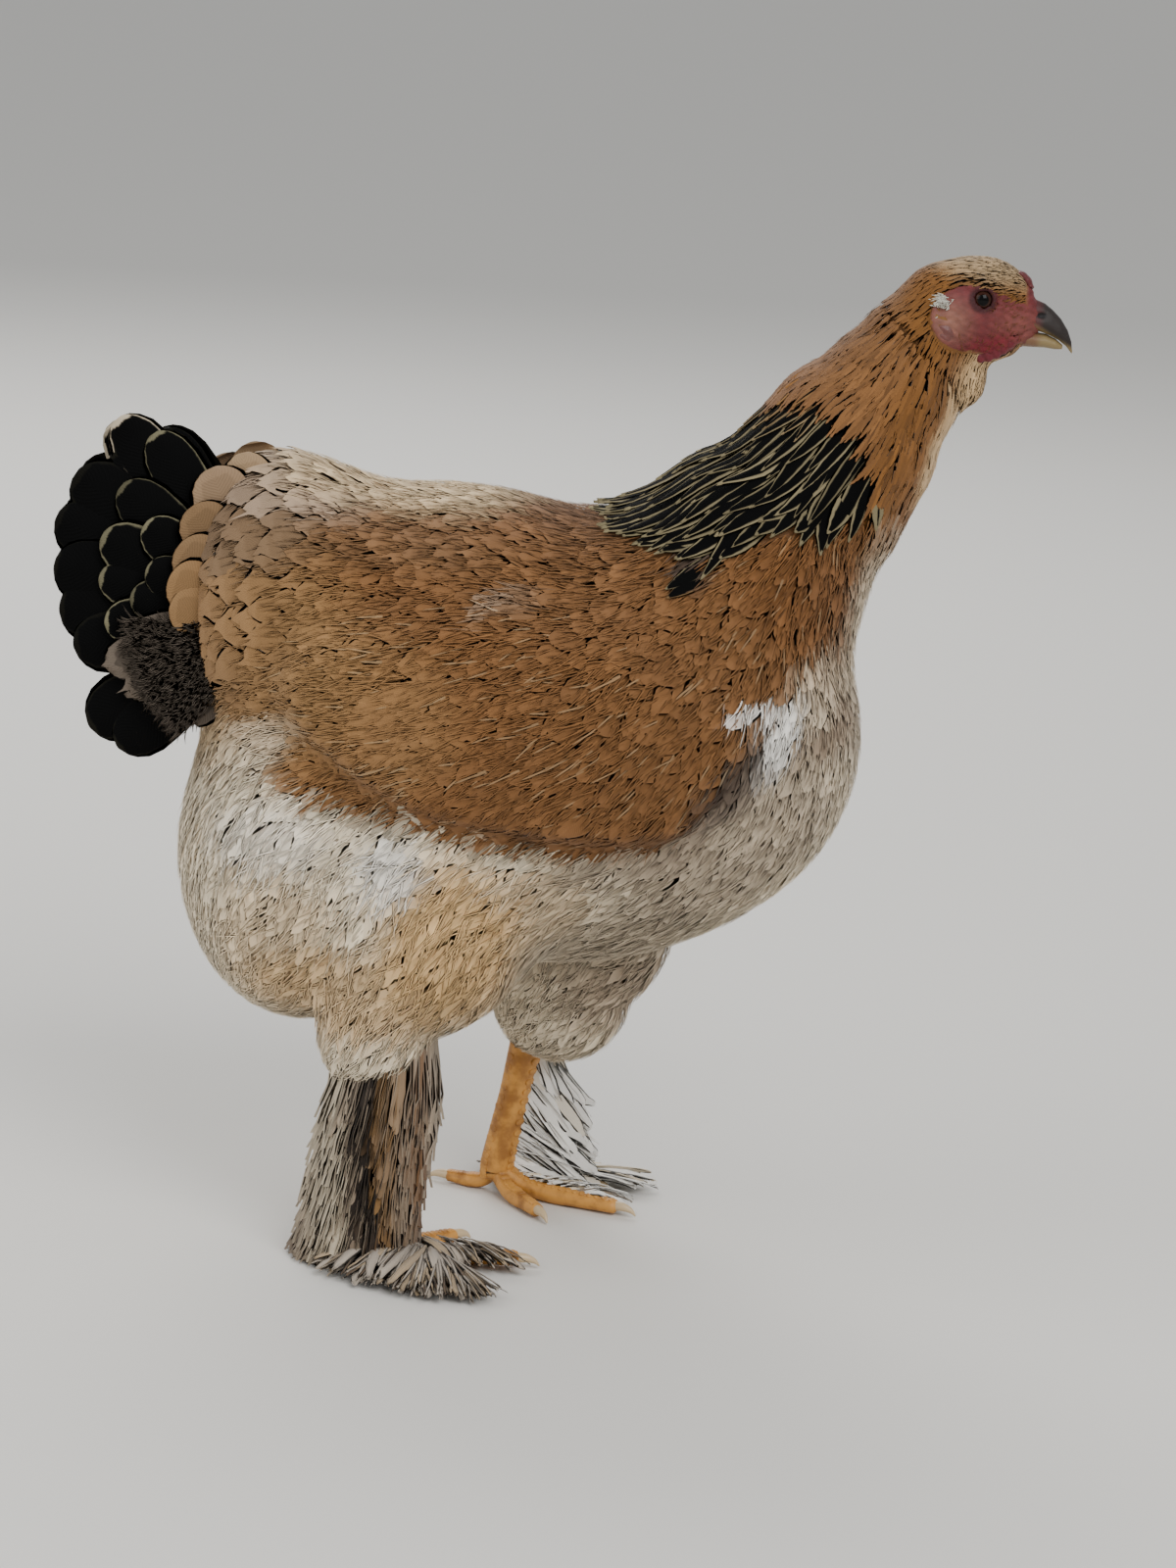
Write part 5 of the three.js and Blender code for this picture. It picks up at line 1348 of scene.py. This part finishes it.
def eye_piece(name, side):
    turns, rises = 32, 20
    a = np.linspace(0, 2 * math.pi, turns, endpoint=False)
    a, b = np.meshgrid(a, np.linspace(0, math.pi, rises + 1)[1:-1])
    y, ring = np.cos(b) * EYE_RADIUS, np.sin(b) * EYE_RADIUS
    points = np.stack([EYE[0] + np.cos(a) * ring, side * (EYE[1] + y), EYE[2] + np.sin(a) * ring], -1)
    poles = [(EYE[0], side * (EYE[1] + r), EYE[2]) for r in (EYE_RADIUS, -EYE_RADIUS)]
    faces, caps = tube_faces(rises - 1, turns)
    if side > 0:
        faces, caps = faces[:, ::-1], caps[:, ::-1]
    points = np.concatenate([points.reshape(-1, 3), poles])
    piece = mesh_piece(f"eyeball_{name}", points, [faces, caps], eye_material(name, side))
    return settled(piece, "eye", f"eye_{name}")


class HEN_OT_head_feathers(bpy.types.Operator):
    """Lays the small feathers of crown, cheeks, ears and throat"""
    bl_idname = "hen.head_feathers"
    bl_label = "Head feathers"

    def execute(self, context):
        rng = seeded(3)
        shape = face_shape()
        wanted = lambda p: ((bare_share(p) < 0.35) & (past_plane(p, (188, 0, 468)) > -2)).astype(float)
        small = lambda p: mix(1.0, 0.6, ease(200, 228, p[:, 0]))
        roots = scatter(head_surface(), lambda p: 1.25 * small(p), rng, wanted)
        n = len(roots)
        size = small(roots) * rng.uniform(0.8, 1.25, n)
        throat = ease(462, 452, roots[:, 2]) * ease(200, 206, roots[:, 0])
        crown = ease(492, 498, roots[:, 2])
        lift = rng.normal(0, 0.08, n) + 1.4 * throat + 0.3 * crown * rng.uniform(0.2, 1, n)
        length = 8.5 * size * mix(1, 1.8, throat)
        made = lay_feathers(shape, roots, length, 1.3 * size, -0.5, lift, POINTED, 3, 0.2, 0.0, rng,
                            sway=0.12)
        tint = coat_colour(made[:, 3, 1]) * rng.normal(1, 0.14, n).clip(0.65, 1.4)[:, None]
        batch = laid(shape, made, POINTED, roots, tint, tint * 1.25, pattern_of(n, rng, 0.4, 0.5, 0.1))
        batches = [batch, *self.bristles(shape, rng)]
        settled(feather_piece("feathers_head", batches, plumage_material("head_plumage", 0.75)), "hackle")
        return {"FINISHED"}

    def bristles(self, shape, rng):
        """The small white bristles that cover each ear, and the thin ones scattered over the bare face."""
        for side in SIDES.values():
            n = 150
            spot = rng.normal(0, 1, (n, 2)) * (1.9, 1.6)
            roots = np.stack([192.5 + spot[:, 0], np.full(n, side * 20.0), 484.8 + spot[:, 1]], 1)
            roots = shape.settle(roots, -0.6, 4)
            made = lay_feathers(shape, roots, rng.uniform(2.2, 3.6, n), np.full(n, 0.3), -0.6,
                                rng.uniform(0.5, 1.3, n), WISP, 3, 0, 0, rng, sway=0.5)
            tint = hen_colour("white") * (0.72, 0.72, 0.66) * rng.uniform(0.75, 1.1, n)[:, None]
            yield laid(shape, made, WISP, roots, tint, tint, pattern_of(n, rng), 0.7)
            n = 260
            spot = np.stack([rng.uniform(200, 236, n), np.full(n, side * 14.0), rng.uniform(462, 492, n)], 1)
            roots = shape.settle(spot, 0.0, 5)
            roots = roots[bare_share(roots) > 0.8]
            n = len(roots)
            made = lay_feathers(shape, roots, rng.uniform(1.6, 3.0, n), np.full(n, 0.10), 0.0,
                                rng.uniform(0.2, 0.8, n), WISP, 3, 0, 0, rng, sway=0.4)
            tint = np.tile(hen_colour("ochre") * 0.9, (n, 1))
            yield laid(shape, made, WISP, roots, tint, tint, pattern_of(n, rng), 0.7)


# Legs and feet

Limb = namedtuple("Limb", "points faces caps line thick way up")


def limb(path, radii, sides, rings, flat=1.0):
    """A closed round limb along a smooth line through path. flat squashes its height."""
    path, radii = np.array(path, float), np.array(radii, float)
    t = np.linspace(0, len(path) - 1, rings)
    base = np.minimum(t.astype(int), len(path) - 2)
    f = (t - base)[:, None]
    pad = np.concatenate([[2 * path[0] - path[1]], path, [2 * path[-1] - path[-2]]])
    p0, p1, p2, p3 = (pad[base + k] for k in range(4))
    line = (2 * p1 + (p2 - p0) * f + (2 * p0 - 5 * p1 + 4 * p2 - p3) * f ** 2
            + (3 * p1 - p0 - 3 * p2 + p3) * f ** 3) * 0.5
    thick = np.interp(t, np.arange(len(radii)), radii)
    way = unit(np.gradient(line, axis=0))
    side = unit(np.cross(way, (0, 0, 1.0)) + (1e-6, 0, 0))
    up = np.cross(side, way)
    a = np.linspace(0, 2 * math.pi, sides, endpoint=False)
    round_it = np.cos(a)[:, None] * side[:, None] + flat * np.sin(a)[:, None] * up[:, None]
    ring = line[:, None] + thick[:, None, None] * round_it
    ends = [line[:1] - way[:1] * thick[0] * 0.4, line[-1:] + way[-1:] * thick[-1] * 0.6]
    faces, caps = tube_faces(rings, sides)
    points = np.concatenate([ring.reshape(-1, 3), *ends])
    return Limb(points, faces[:, ::-1], caps[:, ::-1], line, thick, way, up)


def toe_line(name, side, toe):
    heading, length, r = TOES[toe]
    angle = math.radians(heading + FOOT_YAW[name])
    out = np.array([math.cos(angle), side * math.sin(angle), 0])
    ankle = np.array(mirrored(ANKLE[name], side), float)
    rise = [9, 1.6, 0, 0, 0]
    path = []
    for t, lift in zip((0, 0.25, 0.5, 0.75, 1), rise):
        q = ankle + out * t * length
        q[2] = r * 0.9 + lift
        path.append(q)
    return path, [r * k for k in (1.15, 0.95, 1.08, 0.92, 0.8)], out


def scale_tree():
    """Lays rounded plates on points that carry the way along the limb and the way out."""
    tree = bpy.data.node_groups.new("scutes", "GeometryNodeTree")
    face = tree.interface
    face.new_socket("Geometry", in_out="INPUT", socket_type="NodeSocketGeometry")
    for title, value in (("Thickness", 0.0008), ("Roundness", 0.9)):
        socket = face.new_socket(title, in_out="INPUT", socket_type="NodeSocketFloat")
        socket.default_value = value
    socket = face.new_socket("Seed", in_out="INPUT", socket_type="NodeSocketInt")
    socket.default_value = 3
    face.new_socket("Material", in_out="INPUT", socket_type="NodeSocketMaterial")
    face.new_socket("Geometry", in_out="OUTPUT", socket_type="NodeSocketGeometry")
    add, link = tree.nodes.new, tree.links.new
    start, end = add("NodeGroupInput"), add("NodeGroupOutput")
    plate, soft = add("GeometryNodeMeshCube"), add("GeometryNodeSubdivisionSurface")
    plate.inputs["Size"].default_value = (1, 1, 1)
    soft.inputs["Level"].default_value = 2
    link(plate.outputs[0], soft.inputs[0])
    names = {}
    for title in ("along", "out", "spread"):
        node = add("GeometryNodeInputNamedAttribute")
        node.data_type = "FLOAT_VECTOR"
        node.inputs["Name"].default_value = title
        names[title] = node.outputs["Attribute"]
    turn = add("FunctionNodeAxesToRotation")
    turn.primary_axis, turn.secondary_axis = "Z", "X"
    link(names["out"], turn.inputs["Primary Axis"])
    link(names["along"], turn.inputs["Secondary Axis"])
    luck = add("FunctionNodeRandomValue")
    luck.inputs[2].default_value, luck.inputs[3].default_value = 0.9, 1.1
    link(start.outputs["Seed"], luck.inputs["Seed"])
    size = add("ShaderNodeVectorMath")
    size.operation = "SCALE"
    link(names["spread"], size.inputs[0])
    link(luck.outputs[1], size.inputs["Scale"])
    place = add("GeometryNodeInstanceOnPoints")
    link(start.outputs["Geometry"], place.inputs["Points"])
    link(soft.outputs[0], place.inputs["Instance"])
    link(turn.outputs[0], place.inputs["Rotation"])
    link(size.outputs[0], place.inputs["Scale"])
    real = add("GeometryNodeRealizeInstances")
    link(place.outputs[0], real.inputs[0])
    smooth = add("GeometryNodeSetShadeSmooth")
    link(real.outputs[0], smooth.inputs[0])
    paint = add("GeometryNodeSetMaterial")
    link(smooth.outputs[0], paint.inputs[0])
    link(start.outputs["Material"], paint.inputs["Material"])
    link(paint.outputs[0], end.inputs[0])
    return tree


def scutes(name, rows, material):
    """Plates on a limb. rows: place, way along, way out and spread of each plate, in millimetres."""
    places, along, out, spread = (np.array(r, float) for r in zip(*rows))
    mesh = bpy.data.meshes.new(name)
    mesh.from_pydata(in_frame(places).tolist(), [], [])
    for title, values in (("along", along), ("out", out), ("spread", spread / 1000)):
        layer = mesh.attributes.new(title, "FLOAT_VECTOR", "POINT")
        layer.data.foreach_set("vector", values.astype(np.float32).ravel())
    piece = bpy.data.objects.new(name, mesh)
    bpy.context.scene.collection.objects.link(piece)
    tree = bpy.data.node_groups.get("scutes") or scale_tree()
    layer = piece.modifiers.new("scutes", "NODES")
    layer.node_group = tree
    given = {"Material": material, "Seed": 5}
    for item in tree.interface.items_tree:
        if item.in_out == "INPUT" and item.name in given:
            layer[item.identifier] = given[item.name]
    bpy.context.view_layer.update()
    evaluated = piece.evaluated_get(bpy.context.evaluated_depsgraph_get())
    plain = bpy.data.meshes.new_from_object(evaluated)
    piece.modifiers.remove(layer)
    piece.data = plain
    bpy.data.meshes.remove(mesh)
    return piece


def leg_material():
    leg = tuple(hen_colour("leg"))
    made, shader = new_material("leg", leg, 0.5, Specular_IOR_Level=0.4)
    k = Nodes(made)
    place = k.place()
    grime = k.ramp(k.noise(90.0, place, 5.0), 0.42, 0.66)
    dull = tuple(c * d for c, d in zip(leg, (0.52, 0.46, 0.42)))
    k.join(k.blend(grime, leg, dull), shader.inputs["Base Color"])
    k.bump(k.noise(600.0, place, 3.0), shader, 0.4, 0.0004)
    return made


def shank(name, side, rows):
    """The shank from hock to ankle, with its front and back scutes added to rows."""
    hock, ankle = (np.array(mirrored(end[name], side), float) for end in (HOCK, ANKLE))
    path = [hock + (0, 0, 14), hock, mix(hock, ankle, 0.5), ankle, ankle - (0, 0, 8)]
    made = limb(path, [9, 9, 7.4, 8.6, 8.2], 20, 30)
    front = unit(np.cross(made.way, (0, 1.0, 0)))
    front = front * np.sign(front[:, :1])
    for k in range(4, 27):
        line, way, thick = made.line[k], made.way[k], made.thick[k]
        out = unit(front[k] + np.array([0, -side * 0.55, 0]))
        rows.append((line + out * thick * 0.96, -way * np.sign(-way[2] or 1), out, (5.0, 9.0, 1.8)))
        back = unit(-front[k] + np.array([0, -side * 0.7, 0]))
        rows.append((line + back * thick * 0.96, way, back, (4.6, 7.0, 1.6)))
    return made


def toe_and_nail(name, side, toe, horn, rows):
    """One toe with its nail as a piece of its own, and the toe's scutes added to rows."""
    path, radii, out = toe_line(name, side, toe)
    made = limb(path, radii, 16, 34, 0.86)
    for k in range(4, 34, 2):
        up, way, thick = made.up[k], made.way[k], made.thick[k]
        rows.append((made.line[k] + up * thick * 0.74, way, up + way * 0.16, (4.2, thick * 1.5, 2.0)))
    way = made.way[-1]
    tip = made.line[-1] + way * 0.3
    bend = [tip - way * 1.5 + (0, 0, 0.4), tip + out * 4 + (0, 0, 0.5), tip + out * 8.2 + (0, 0, -0.6),
            tip + out * 11 + (0, 0, -2.9)]
    nail = limb(bend, [2.7, 2.3, 1.4, 0.35], 12, 18)
    piece = mesh_piece(f"nail_{toe}_{name}", nail.points, [nail.faces, nail.caps], horn)
    settled(piece, "claw", f"claw_{toe}_{name}")
    return made


class HEN_OT_feet(bpy.types.Operator):
    """Makes shanks, toes, scutes and claws"""
    bl_idname = "hen.feet"
    bl_label = "Feet"

    def execute(self, context):
        material = leg_material()
        horn, _ = new_material("claw", tuple(hen_colour("claw")), 0.35)
        for name, side in SIDES.items():
            rows, count, quads, caps = [], 0, [], []
            limbs = [shank(name, side, rows)] + [toe_and_nail(name, side, toe, horn, rows) for toe in TOES]
            for made in limbs:
                quads.append(made.faces + count)
                caps.append(made.caps + count)
                count += len(made.points)
            points = np.concatenate([made.points for made in limbs])
            faces = [np.concatenate(quads), np.concatenate(caps)]
            piece = mesh_piece(f"foot_skin_{name}", points, faces, material)
            settled(piece, "toes", f"foot_{name}", f"shank_{name}")
            settled(scutes(f"foot_scutes_{name}", rows, material), "toes")
        return {"FINISHED"}


# How many broad feathers hang from each shank, and the column that they make on the rear leg: its height, its
# middle at the top and at the floor, and its half sizes there.
LEG_FEATHERS = {"right": 300, "left": 340}
COLUMN = 116
COLUMN_TOP, COLUMN_FOOT, COLUMN_TOP_HALF, COLUMN_FOOT_HALF = (-38, 60), (-50, 64), (27, 21), (26, 21)
# Share of toe feathers on the outer toe, and how far along a toe they grow.
OUTER_SHARE, TOE_COVER = 0.78, 0.78


class HEN_OT_leg_feathers(bpy.types.Operator):
    """Hangs the feathers of shanks and toes"""
    bl_idname = "hen.leg_feathers"
    bl_label = "Leg feathers"

    def execute(self, context):
        rng = seeded(4)
        material = plumage_material("leg_plumage", 0.85)
        for name, side in SIDES.items():
            count = LEG_FEATHERS[name]
            if name == "right":
                batches = [self.column(side, rng, 7.0, 1.0, count, ROUND, 5),
                           self.column(side, rng, 1.0, 1.06, count * 6, CURL, 3)]
            else:
                batches = [self.fan(side, rng, 3.6, count, ROUND, 5),
                           self.fan(side, rng, 0.34, count * 3, CURL, 3)]
            batches += [self.toe_feathers(name, side, rng, 90, 1.0),
                        self.toe_feathers(name, side, rng, 420, 0.25)]
            settled(feather_piece(f"leg_feathers_{name}", batches, material), "leg_feathers")
        return {"FINISHED"}

    def column(self, side, rng, thick, out, count, outline, columns):
        """Feathers that hang round the rear shank to the floor."""
        turn = np.radians(rng.uniform(-180, 180, count))
        height = mix(COLUMN, 20, rng.random(count) ** 0.85)
        length = rng.uniform(34, 52, count)
        away = np.stack([-np.sin(turn), side * np.cos(turn), np.zeros(count)], 1)
        cross = np.stack([-away[:, 1], away[:, 0], np.zeros(count)], 1)
        half = rng.uniform(0.45, 0.72, count) * thick
        bend = rng.normal(0, 0.05, count)
        made = np.zeros((count, len(outline[0]), columns, 3))
        for k, (t, width) in enumerate(zip(*outline)):
            z = height - length * t
            down = np.clip((COLUMN - z) / COLUMN, 0, 1)
            mid = np.stack([mix(COLUMN_TOP[0], COLUMN_FOOT[0], down),
                            side * mix(COLUMN_TOP[1], COLUMN_FOOT[1], down), z], 1)
            rx, ry = (mix(top, foot, down) for top, foot in zip(COLUMN_TOP_HALF, COLUMN_FOOT_HALF))
            flare = 1 + 0.10 * ease(0.62, 1.0, down) + bend * t
            grow = mix(0.72, 1.0, t ** 0.6) * out * flare
            line = mid + away * np.stack([rx * grow, ry * grow, 0 * z], 1)
            for m, c in enumerate(np.linspace(-1, 1, columns)):
                sunk = 0.9 * c * c * min(thick, 2)
                made[:, k, m] = line - cross * (half * width * c)[:, None] - away * sunk
                if columns == 3:
                    made[:, k, m] += away * (0.3 * (1 - c * c))
            if t > 0.5:
                made[:, k] += rng.normal(0, 0.5 if columns > 3 else 0.9, (count, 1, 3))
        self.lay_down(made, rng)
        tint = self.streaks(made[:, 1, columns // 2], rng)
        facing = np.broadcast_to(unit(away + (0, 0, 0.1))[:, None, None], made.shape)
        place = np.stack([0.1 + 0.8 * (COLUMN - height) / COLUMN, 0.5 + turn / 6.3], 1)
        pattern = pattern_of(count, rng, 0.4 if columns > 3 else 0.0, 0.55, 0.1)
        return batch_of(made, outline, tint, tint * 1.3, pattern, place, facing, 0.6)

    def fan(self, side, rng, half, count, outline, columns):
        """White feathers that sweep down and forwards from the outer side of the front shank to its toes."""
        height = mix(92, 10, rng.random(count) ** 0.9)
        length = rng.uniform(34, 50, count)
        down = np.radians(mix(16, 68, (height - 10) / 82) + rng.normal(0, 6, count))
        down = np.minimum(down, np.arcsin(np.clip((height - 2) / length, 0.05, 0.98)))
        way = np.stack([np.cos(down), side * rng.normal(0.1, 0.08, count), -np.sin(down)], 1)
        face = unit(np.array((0.15, -0.8 * side, 0.5)) + rng.normal(0, 0.05, (count, 3)))
        cross = unit(np.cross(face, way))
        root = np.stack([mix(18, 25, height / 92) + rng.uniform(0, 5, count),
                         side * rng.uniform(58, 73, count), height], 1)
        half = half * rng.uniform(0.8, 1.25, count)
        made = np.zeros((count, len(outline[0]), columns, 3))
        for k, (t, width) in enumerate(zip(*outline)):
            line = root + way * (length * t)[:, None] + (0, side * 8 * t * t, -5 * t * t)
            for m, c in enumerate(np.linspace(-1, 1, columns)):
                arch = 0.7 * (1 - c * c) * min(1, columns / 5)
                made[:, k, m] = line - cross * (half * width * c)[:, None] + face * arch
            if t > 0.5:
                made[:, k] += rng.normal(0, 0.5, (count, 1, 3))
        self.lay_down(made, rng)
        tint = hen_colour("white") * rng.uniform(0.8, 1.1, count)[:, None]
        tint = mix(tint, hen_colour("cream") * 0.8, (rng.random(count) < 0.2)[:, None] * 0.6)
        pattern = pattern_of(count, rng, 0.2, 0.6, 0.1)
        place = np.stack([0.1 + 0.8 * height / 100, 0.3 + 0.2 * rng.random(count)], 1)
        facing = np.broadcast_to(face[:, None, None], made.shape)
        return batch_of(made, outline, tint, tint * 0.9, pattern, place, facing, 0.9)

    def lay_down(self, made, rng):
        """Rests feathers that reach the floor on it, at slightly different heights."""
        made[..., 2] = np.maximum(made[..., 2], 0.8 + 2.0 * rng.random(len(made))[:, None, None])

    def streaks(self, p, rng):
        """Upright streaks: pale behind, a dark one, tan, brown, and pale in front; darker and greyer near the
        floor.
        """
        count, z = len(p), p[:, 2]
        x = p[:, 0] + rng.normal(0, 2.2, count) - (60 - z) * 0.10
        stops = [(-78, "grey", 0.95), (-58, "cream", 0.72), (-49, "grey", 0.8), (-45.5, "slate", 0.5),
                 (-41.5, "slate", 0.6), (-37, "gold", 0.62), (-27, "grey", 0.95), (-20, "brown", 0.75),
                 (-16, "grey", 1.05), (4, "cream", 0.7)]
        tones = np.array([hen_colour(name) * share for _, name, share in stops])
        tint = np.stack([np.interp(x, [stop[0] for stop in stops], tones[:, c]) for c in range(3)], 1)
        # Within about 50 mm of the floor the streaks turn darker and greyer.
        floor_darkening = ease(50, 5, z + rng.normal(0, 8, count))[:, None]
        tint = mix(tint, hen_colour("slate") * (1.1, 1.0, 0.92), 0.62 * floor_darkening)
        return tint * rng.normal(1, 0.13, count).clip(0.65, 1.4)[:, None]

    def toe_feathers(self, name, side, rng, count, thick):
        """Feathers that spread over the floor from the outer toe, and a few from the middle one."""
        columns = 5 if thick > 0.5 else 3
        outer = rng.random(count) < OUTER_SHARE
        share = rng.uniform(0.0, TOE_COVER, count)
        low, high = (128, 52) if name == "right" else (112, 26)
        heading = mix(low, high, share / TOE_COVER) + rng.normal(0, 8, count)
        heading = np.where(outer, heading, rng.uniform(14, 50, count))
        length = np.where(outer, rng.uniform(28, 50, count), rng.uniform(14, 26, count))
        start = np.zeros((count, 3))
        for n in range(count):
            toe = "outer" if outer[n] else "middle"
            _, radii, out = toe_line(name, side, toe)
            start[n] = np.array(mirrored(ANKLE[name], side), float) + out * share[n] * TOES[toe][1]
            start[n, 2] = radii[1] * 1.1 + rng.uniform(0, 3)
        a = np.radians(heading + FOOT_YAW[name])
        away = np.stack([np.cos(a), side * np.sin(a), np.zeros(count)], 1)
        cross = np.stack([-away[:, 1], away[:, 0], np.zeros(count)], 1)
        lift = rng.uniform(0, 6, count)
        half = rng.uniform(2.4, 4.6, count) * thick
        bow = rng.normal(0, 0.12, count)
        made = np.zeros((count, len(ROUND[0]), columns, 3))
        for k, (t, width) in enumerate(zip(*ROUND)):
            line = start + away * (length * t)[:, None] + cross * (length * bow * t * t)[:, None]
            line[:, 2] += 4.0 * math.sin(t * math.pi * 0.8) - 4.8 * t + lift * (1 - 0.5 * t)
            for m, c in enumerate(np.linspace(-1, 1, columns)):
                q = line + cross * (half * width * c)[:, None] + rng.normal(0, 0.25, (count, 3)) * (t > 0.7)
                q[:, 2] -= 1.0 * c * c * min(1, thick * 2)
                made[:, k, m] = q
        made[..., 2] = np.maximum(made[..., 2], 0.7)
        shade = rng.random(count)
        tint = np.where(shade[:, None] < 0.6, hen_colour("white"), hen_colour("cream"))
        tint = np.where((shade > 0.85)[:, None], hen_colour("grey") * 0.8, tint)
        if name == "right":
            tint = tint * (0.5, 0.44, 0.38)
        pattern = pattern_of(count, rng, 0.4, 0.6, 0.3)
        place = np.stack([share, 0.02 + 0.1 * rng.random(count)], 1)
        facing = np.broadcast_to(np.array((0, side * 0.25, 0.97)), made.shape)
        return batch_of(made, ROUND, tint, tint * 0.8, pattern, place, facing, 0.4)
# The stage: lights as place, share of the key light's power and width; the camera's place, tilts and film.
LIGHTS = {
    "key": ((1.2, -2.4, 2.6), 1.0, 2.2),
    "fill": ((-2.4, -1.2, 1.6), 0.4, 2.4),
    "rim": ((-0.8, 2.4, 2.2), 0.6, 2.0),
}
LIT = Vector((0, 0, 0.25))
FLOOR_HALF = 30
CAMERA_AT = Vector(((44.436 + SHIFT) / 1000, -2.09889, 0.697015))
CAMERA_PITCH, CAMERA_ROLL, FILM = math.radians(12.5), math.radians(5), 36
class HEN_OT_stage(bpy.types.Operator):
    """Makes the floor, the soft lights and the camera"""
    bl_idname = "hen.stage"
    bl_label = "Stage"

    def execute(self, context):
        kit = context.scene.hen_stage
        scene = context.scene
        mesh = bpy.data.meshes.new("floor")
        corners = [(x * FLOOR_HALF, y * FLOOR_HALF, 0) for x, y in ((-1, -1), (1, -1), (1, 1), (-1, 1))]
        mesh.from_pydata(corners, [], [(0, 1, 2, 3)])
        made, _ = new_material("floor", tuple(kit.floor), 0.9)
        mesh.materials.append(made)
        floor = bpy.data.objects.new("floor", mesh)
        scene.collection.objects.link(floor)
        floor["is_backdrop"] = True
        world = bpy.data.worlds.new("studio")
        world.use_nodes = True
        world.node_tree.nodes["Background"].inputs[0].default_value = (0.86, 0.88, 0.9, 1)
        world.node_tree.nodes["Background"].inputs[1].default_value = 0.7
        scene.world = world
        for name, (at, share, size) in LIGHTS.items():
            data = bpy.data.lights.new(name, "AREA")
            data.energy, data.size = kit.key * share, size
            light = bpy.data.objects.new(name, data)
            light.location = at
            light.rotation_euler = (LIT - Vector(at)).to_track_quat("-Z", "Y").to_euler()
            scene.collection.objects.link(light)
            light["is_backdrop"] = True
        ahead = Vector((0, math.cos(CAMERA_PITCH), -math.sin(CAMERA_PITCH)))
        right = Vector((1, 0, 0))
        up = right.cross(ahead)
        across = right * math.cos(CAMERA_ROLL) + up * math.sin(CAMERA_ROLL)
        above = up * math.cos(CAMERA_ROLL) - right * math.sin(CAMERA_ROLL)
        data = bpy.data.cameras.new("camera")
        data.sensor_fit, data.sensor_height, data.lens = "VERTICAL", FILM, kit.lens
        data.clip_start, data.clip_end = 0.05, 50
        camera = bpy.data.objects.new("camera", data)
        matrix = camera.matrix_world.copy()
        for r in range(3):
            matrix[r][0], matrix[r][1], matrix[r][2] = across[r], above[r], -ahead[r]
        matrix.translation = CAMERA_AT
        camera.matrix_world = matrix
        scene.collection.objects.link(camera)
        scene.camera = camera
        scene.view_settings.view_transform = "AgX"
        return {"FINISHED"}


class HEN_PT_panel(bpy.types.Panel):
    """Lists the hen's sizes, colours and pieces"""
    bl_idname = "HEN_PT_panel"
    bl_label = "Brahma hen"
    bl_space_type = "VIEW_3D"
    bl_region_type = "UI"
    bl_category = "Hen"

    def draw(self, context):
        for operator in OPERATORS:
            self.layout.operator(operator.bl_idname)
        for group in (context.scene.hen_coat, context.scene.hen_colours, context.scene.hen_stage):
            box = self.layout.box()
            for name in group.__annotations__:
                box.prop(group, name)


OPERATORS = (HEN_OT_skin, HEN_OT_coat, HEN_OT_hackle, HEN_OT_tail, HEN_OT_face, HEN_OT_head_feathers,
             HEN_OT_feet, HEN_OT_leg_feathers, HEN_OT_stage)
CLASSES = (HenColours, HenCoat, HenStage, *OPERATORS, HEN_PT_panel)


def register():
    for made in CLASSES:
        bpy.utils.register_class(made)
    bpy.types.Scene.hen_colours = PointerProperty(type=HenColours)
    bpy.types.Scene.hen_coat = PointerProperty(type=HenCoat)
    bpy.types.Scene.hen_stage = PointerProperty(type=HenStage)


def unregister():
    for name in ("hen_stage", "hen_coat", "hen_colours"):
        delattr(bpy.types.Scene, name)
    for made in reversed(CLASSES):
        bpy.utils.unregister_class(made)


def main():
    register()
    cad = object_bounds()
    build = bpy.ops.hen
    for step in (build.skin, build.coat, build.hackle, build.tail, build.face, build.head_feathers,
                 build.feet, build.leg_feathers, build.stage):
        step()
    bpy.context.view_layer.update()
    plain = lambda box: [list(map(float, corner)) for corner in box]
    {"cad": plain(cad), "visual": plain(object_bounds())}


if __name__ == "__main__":
    main()
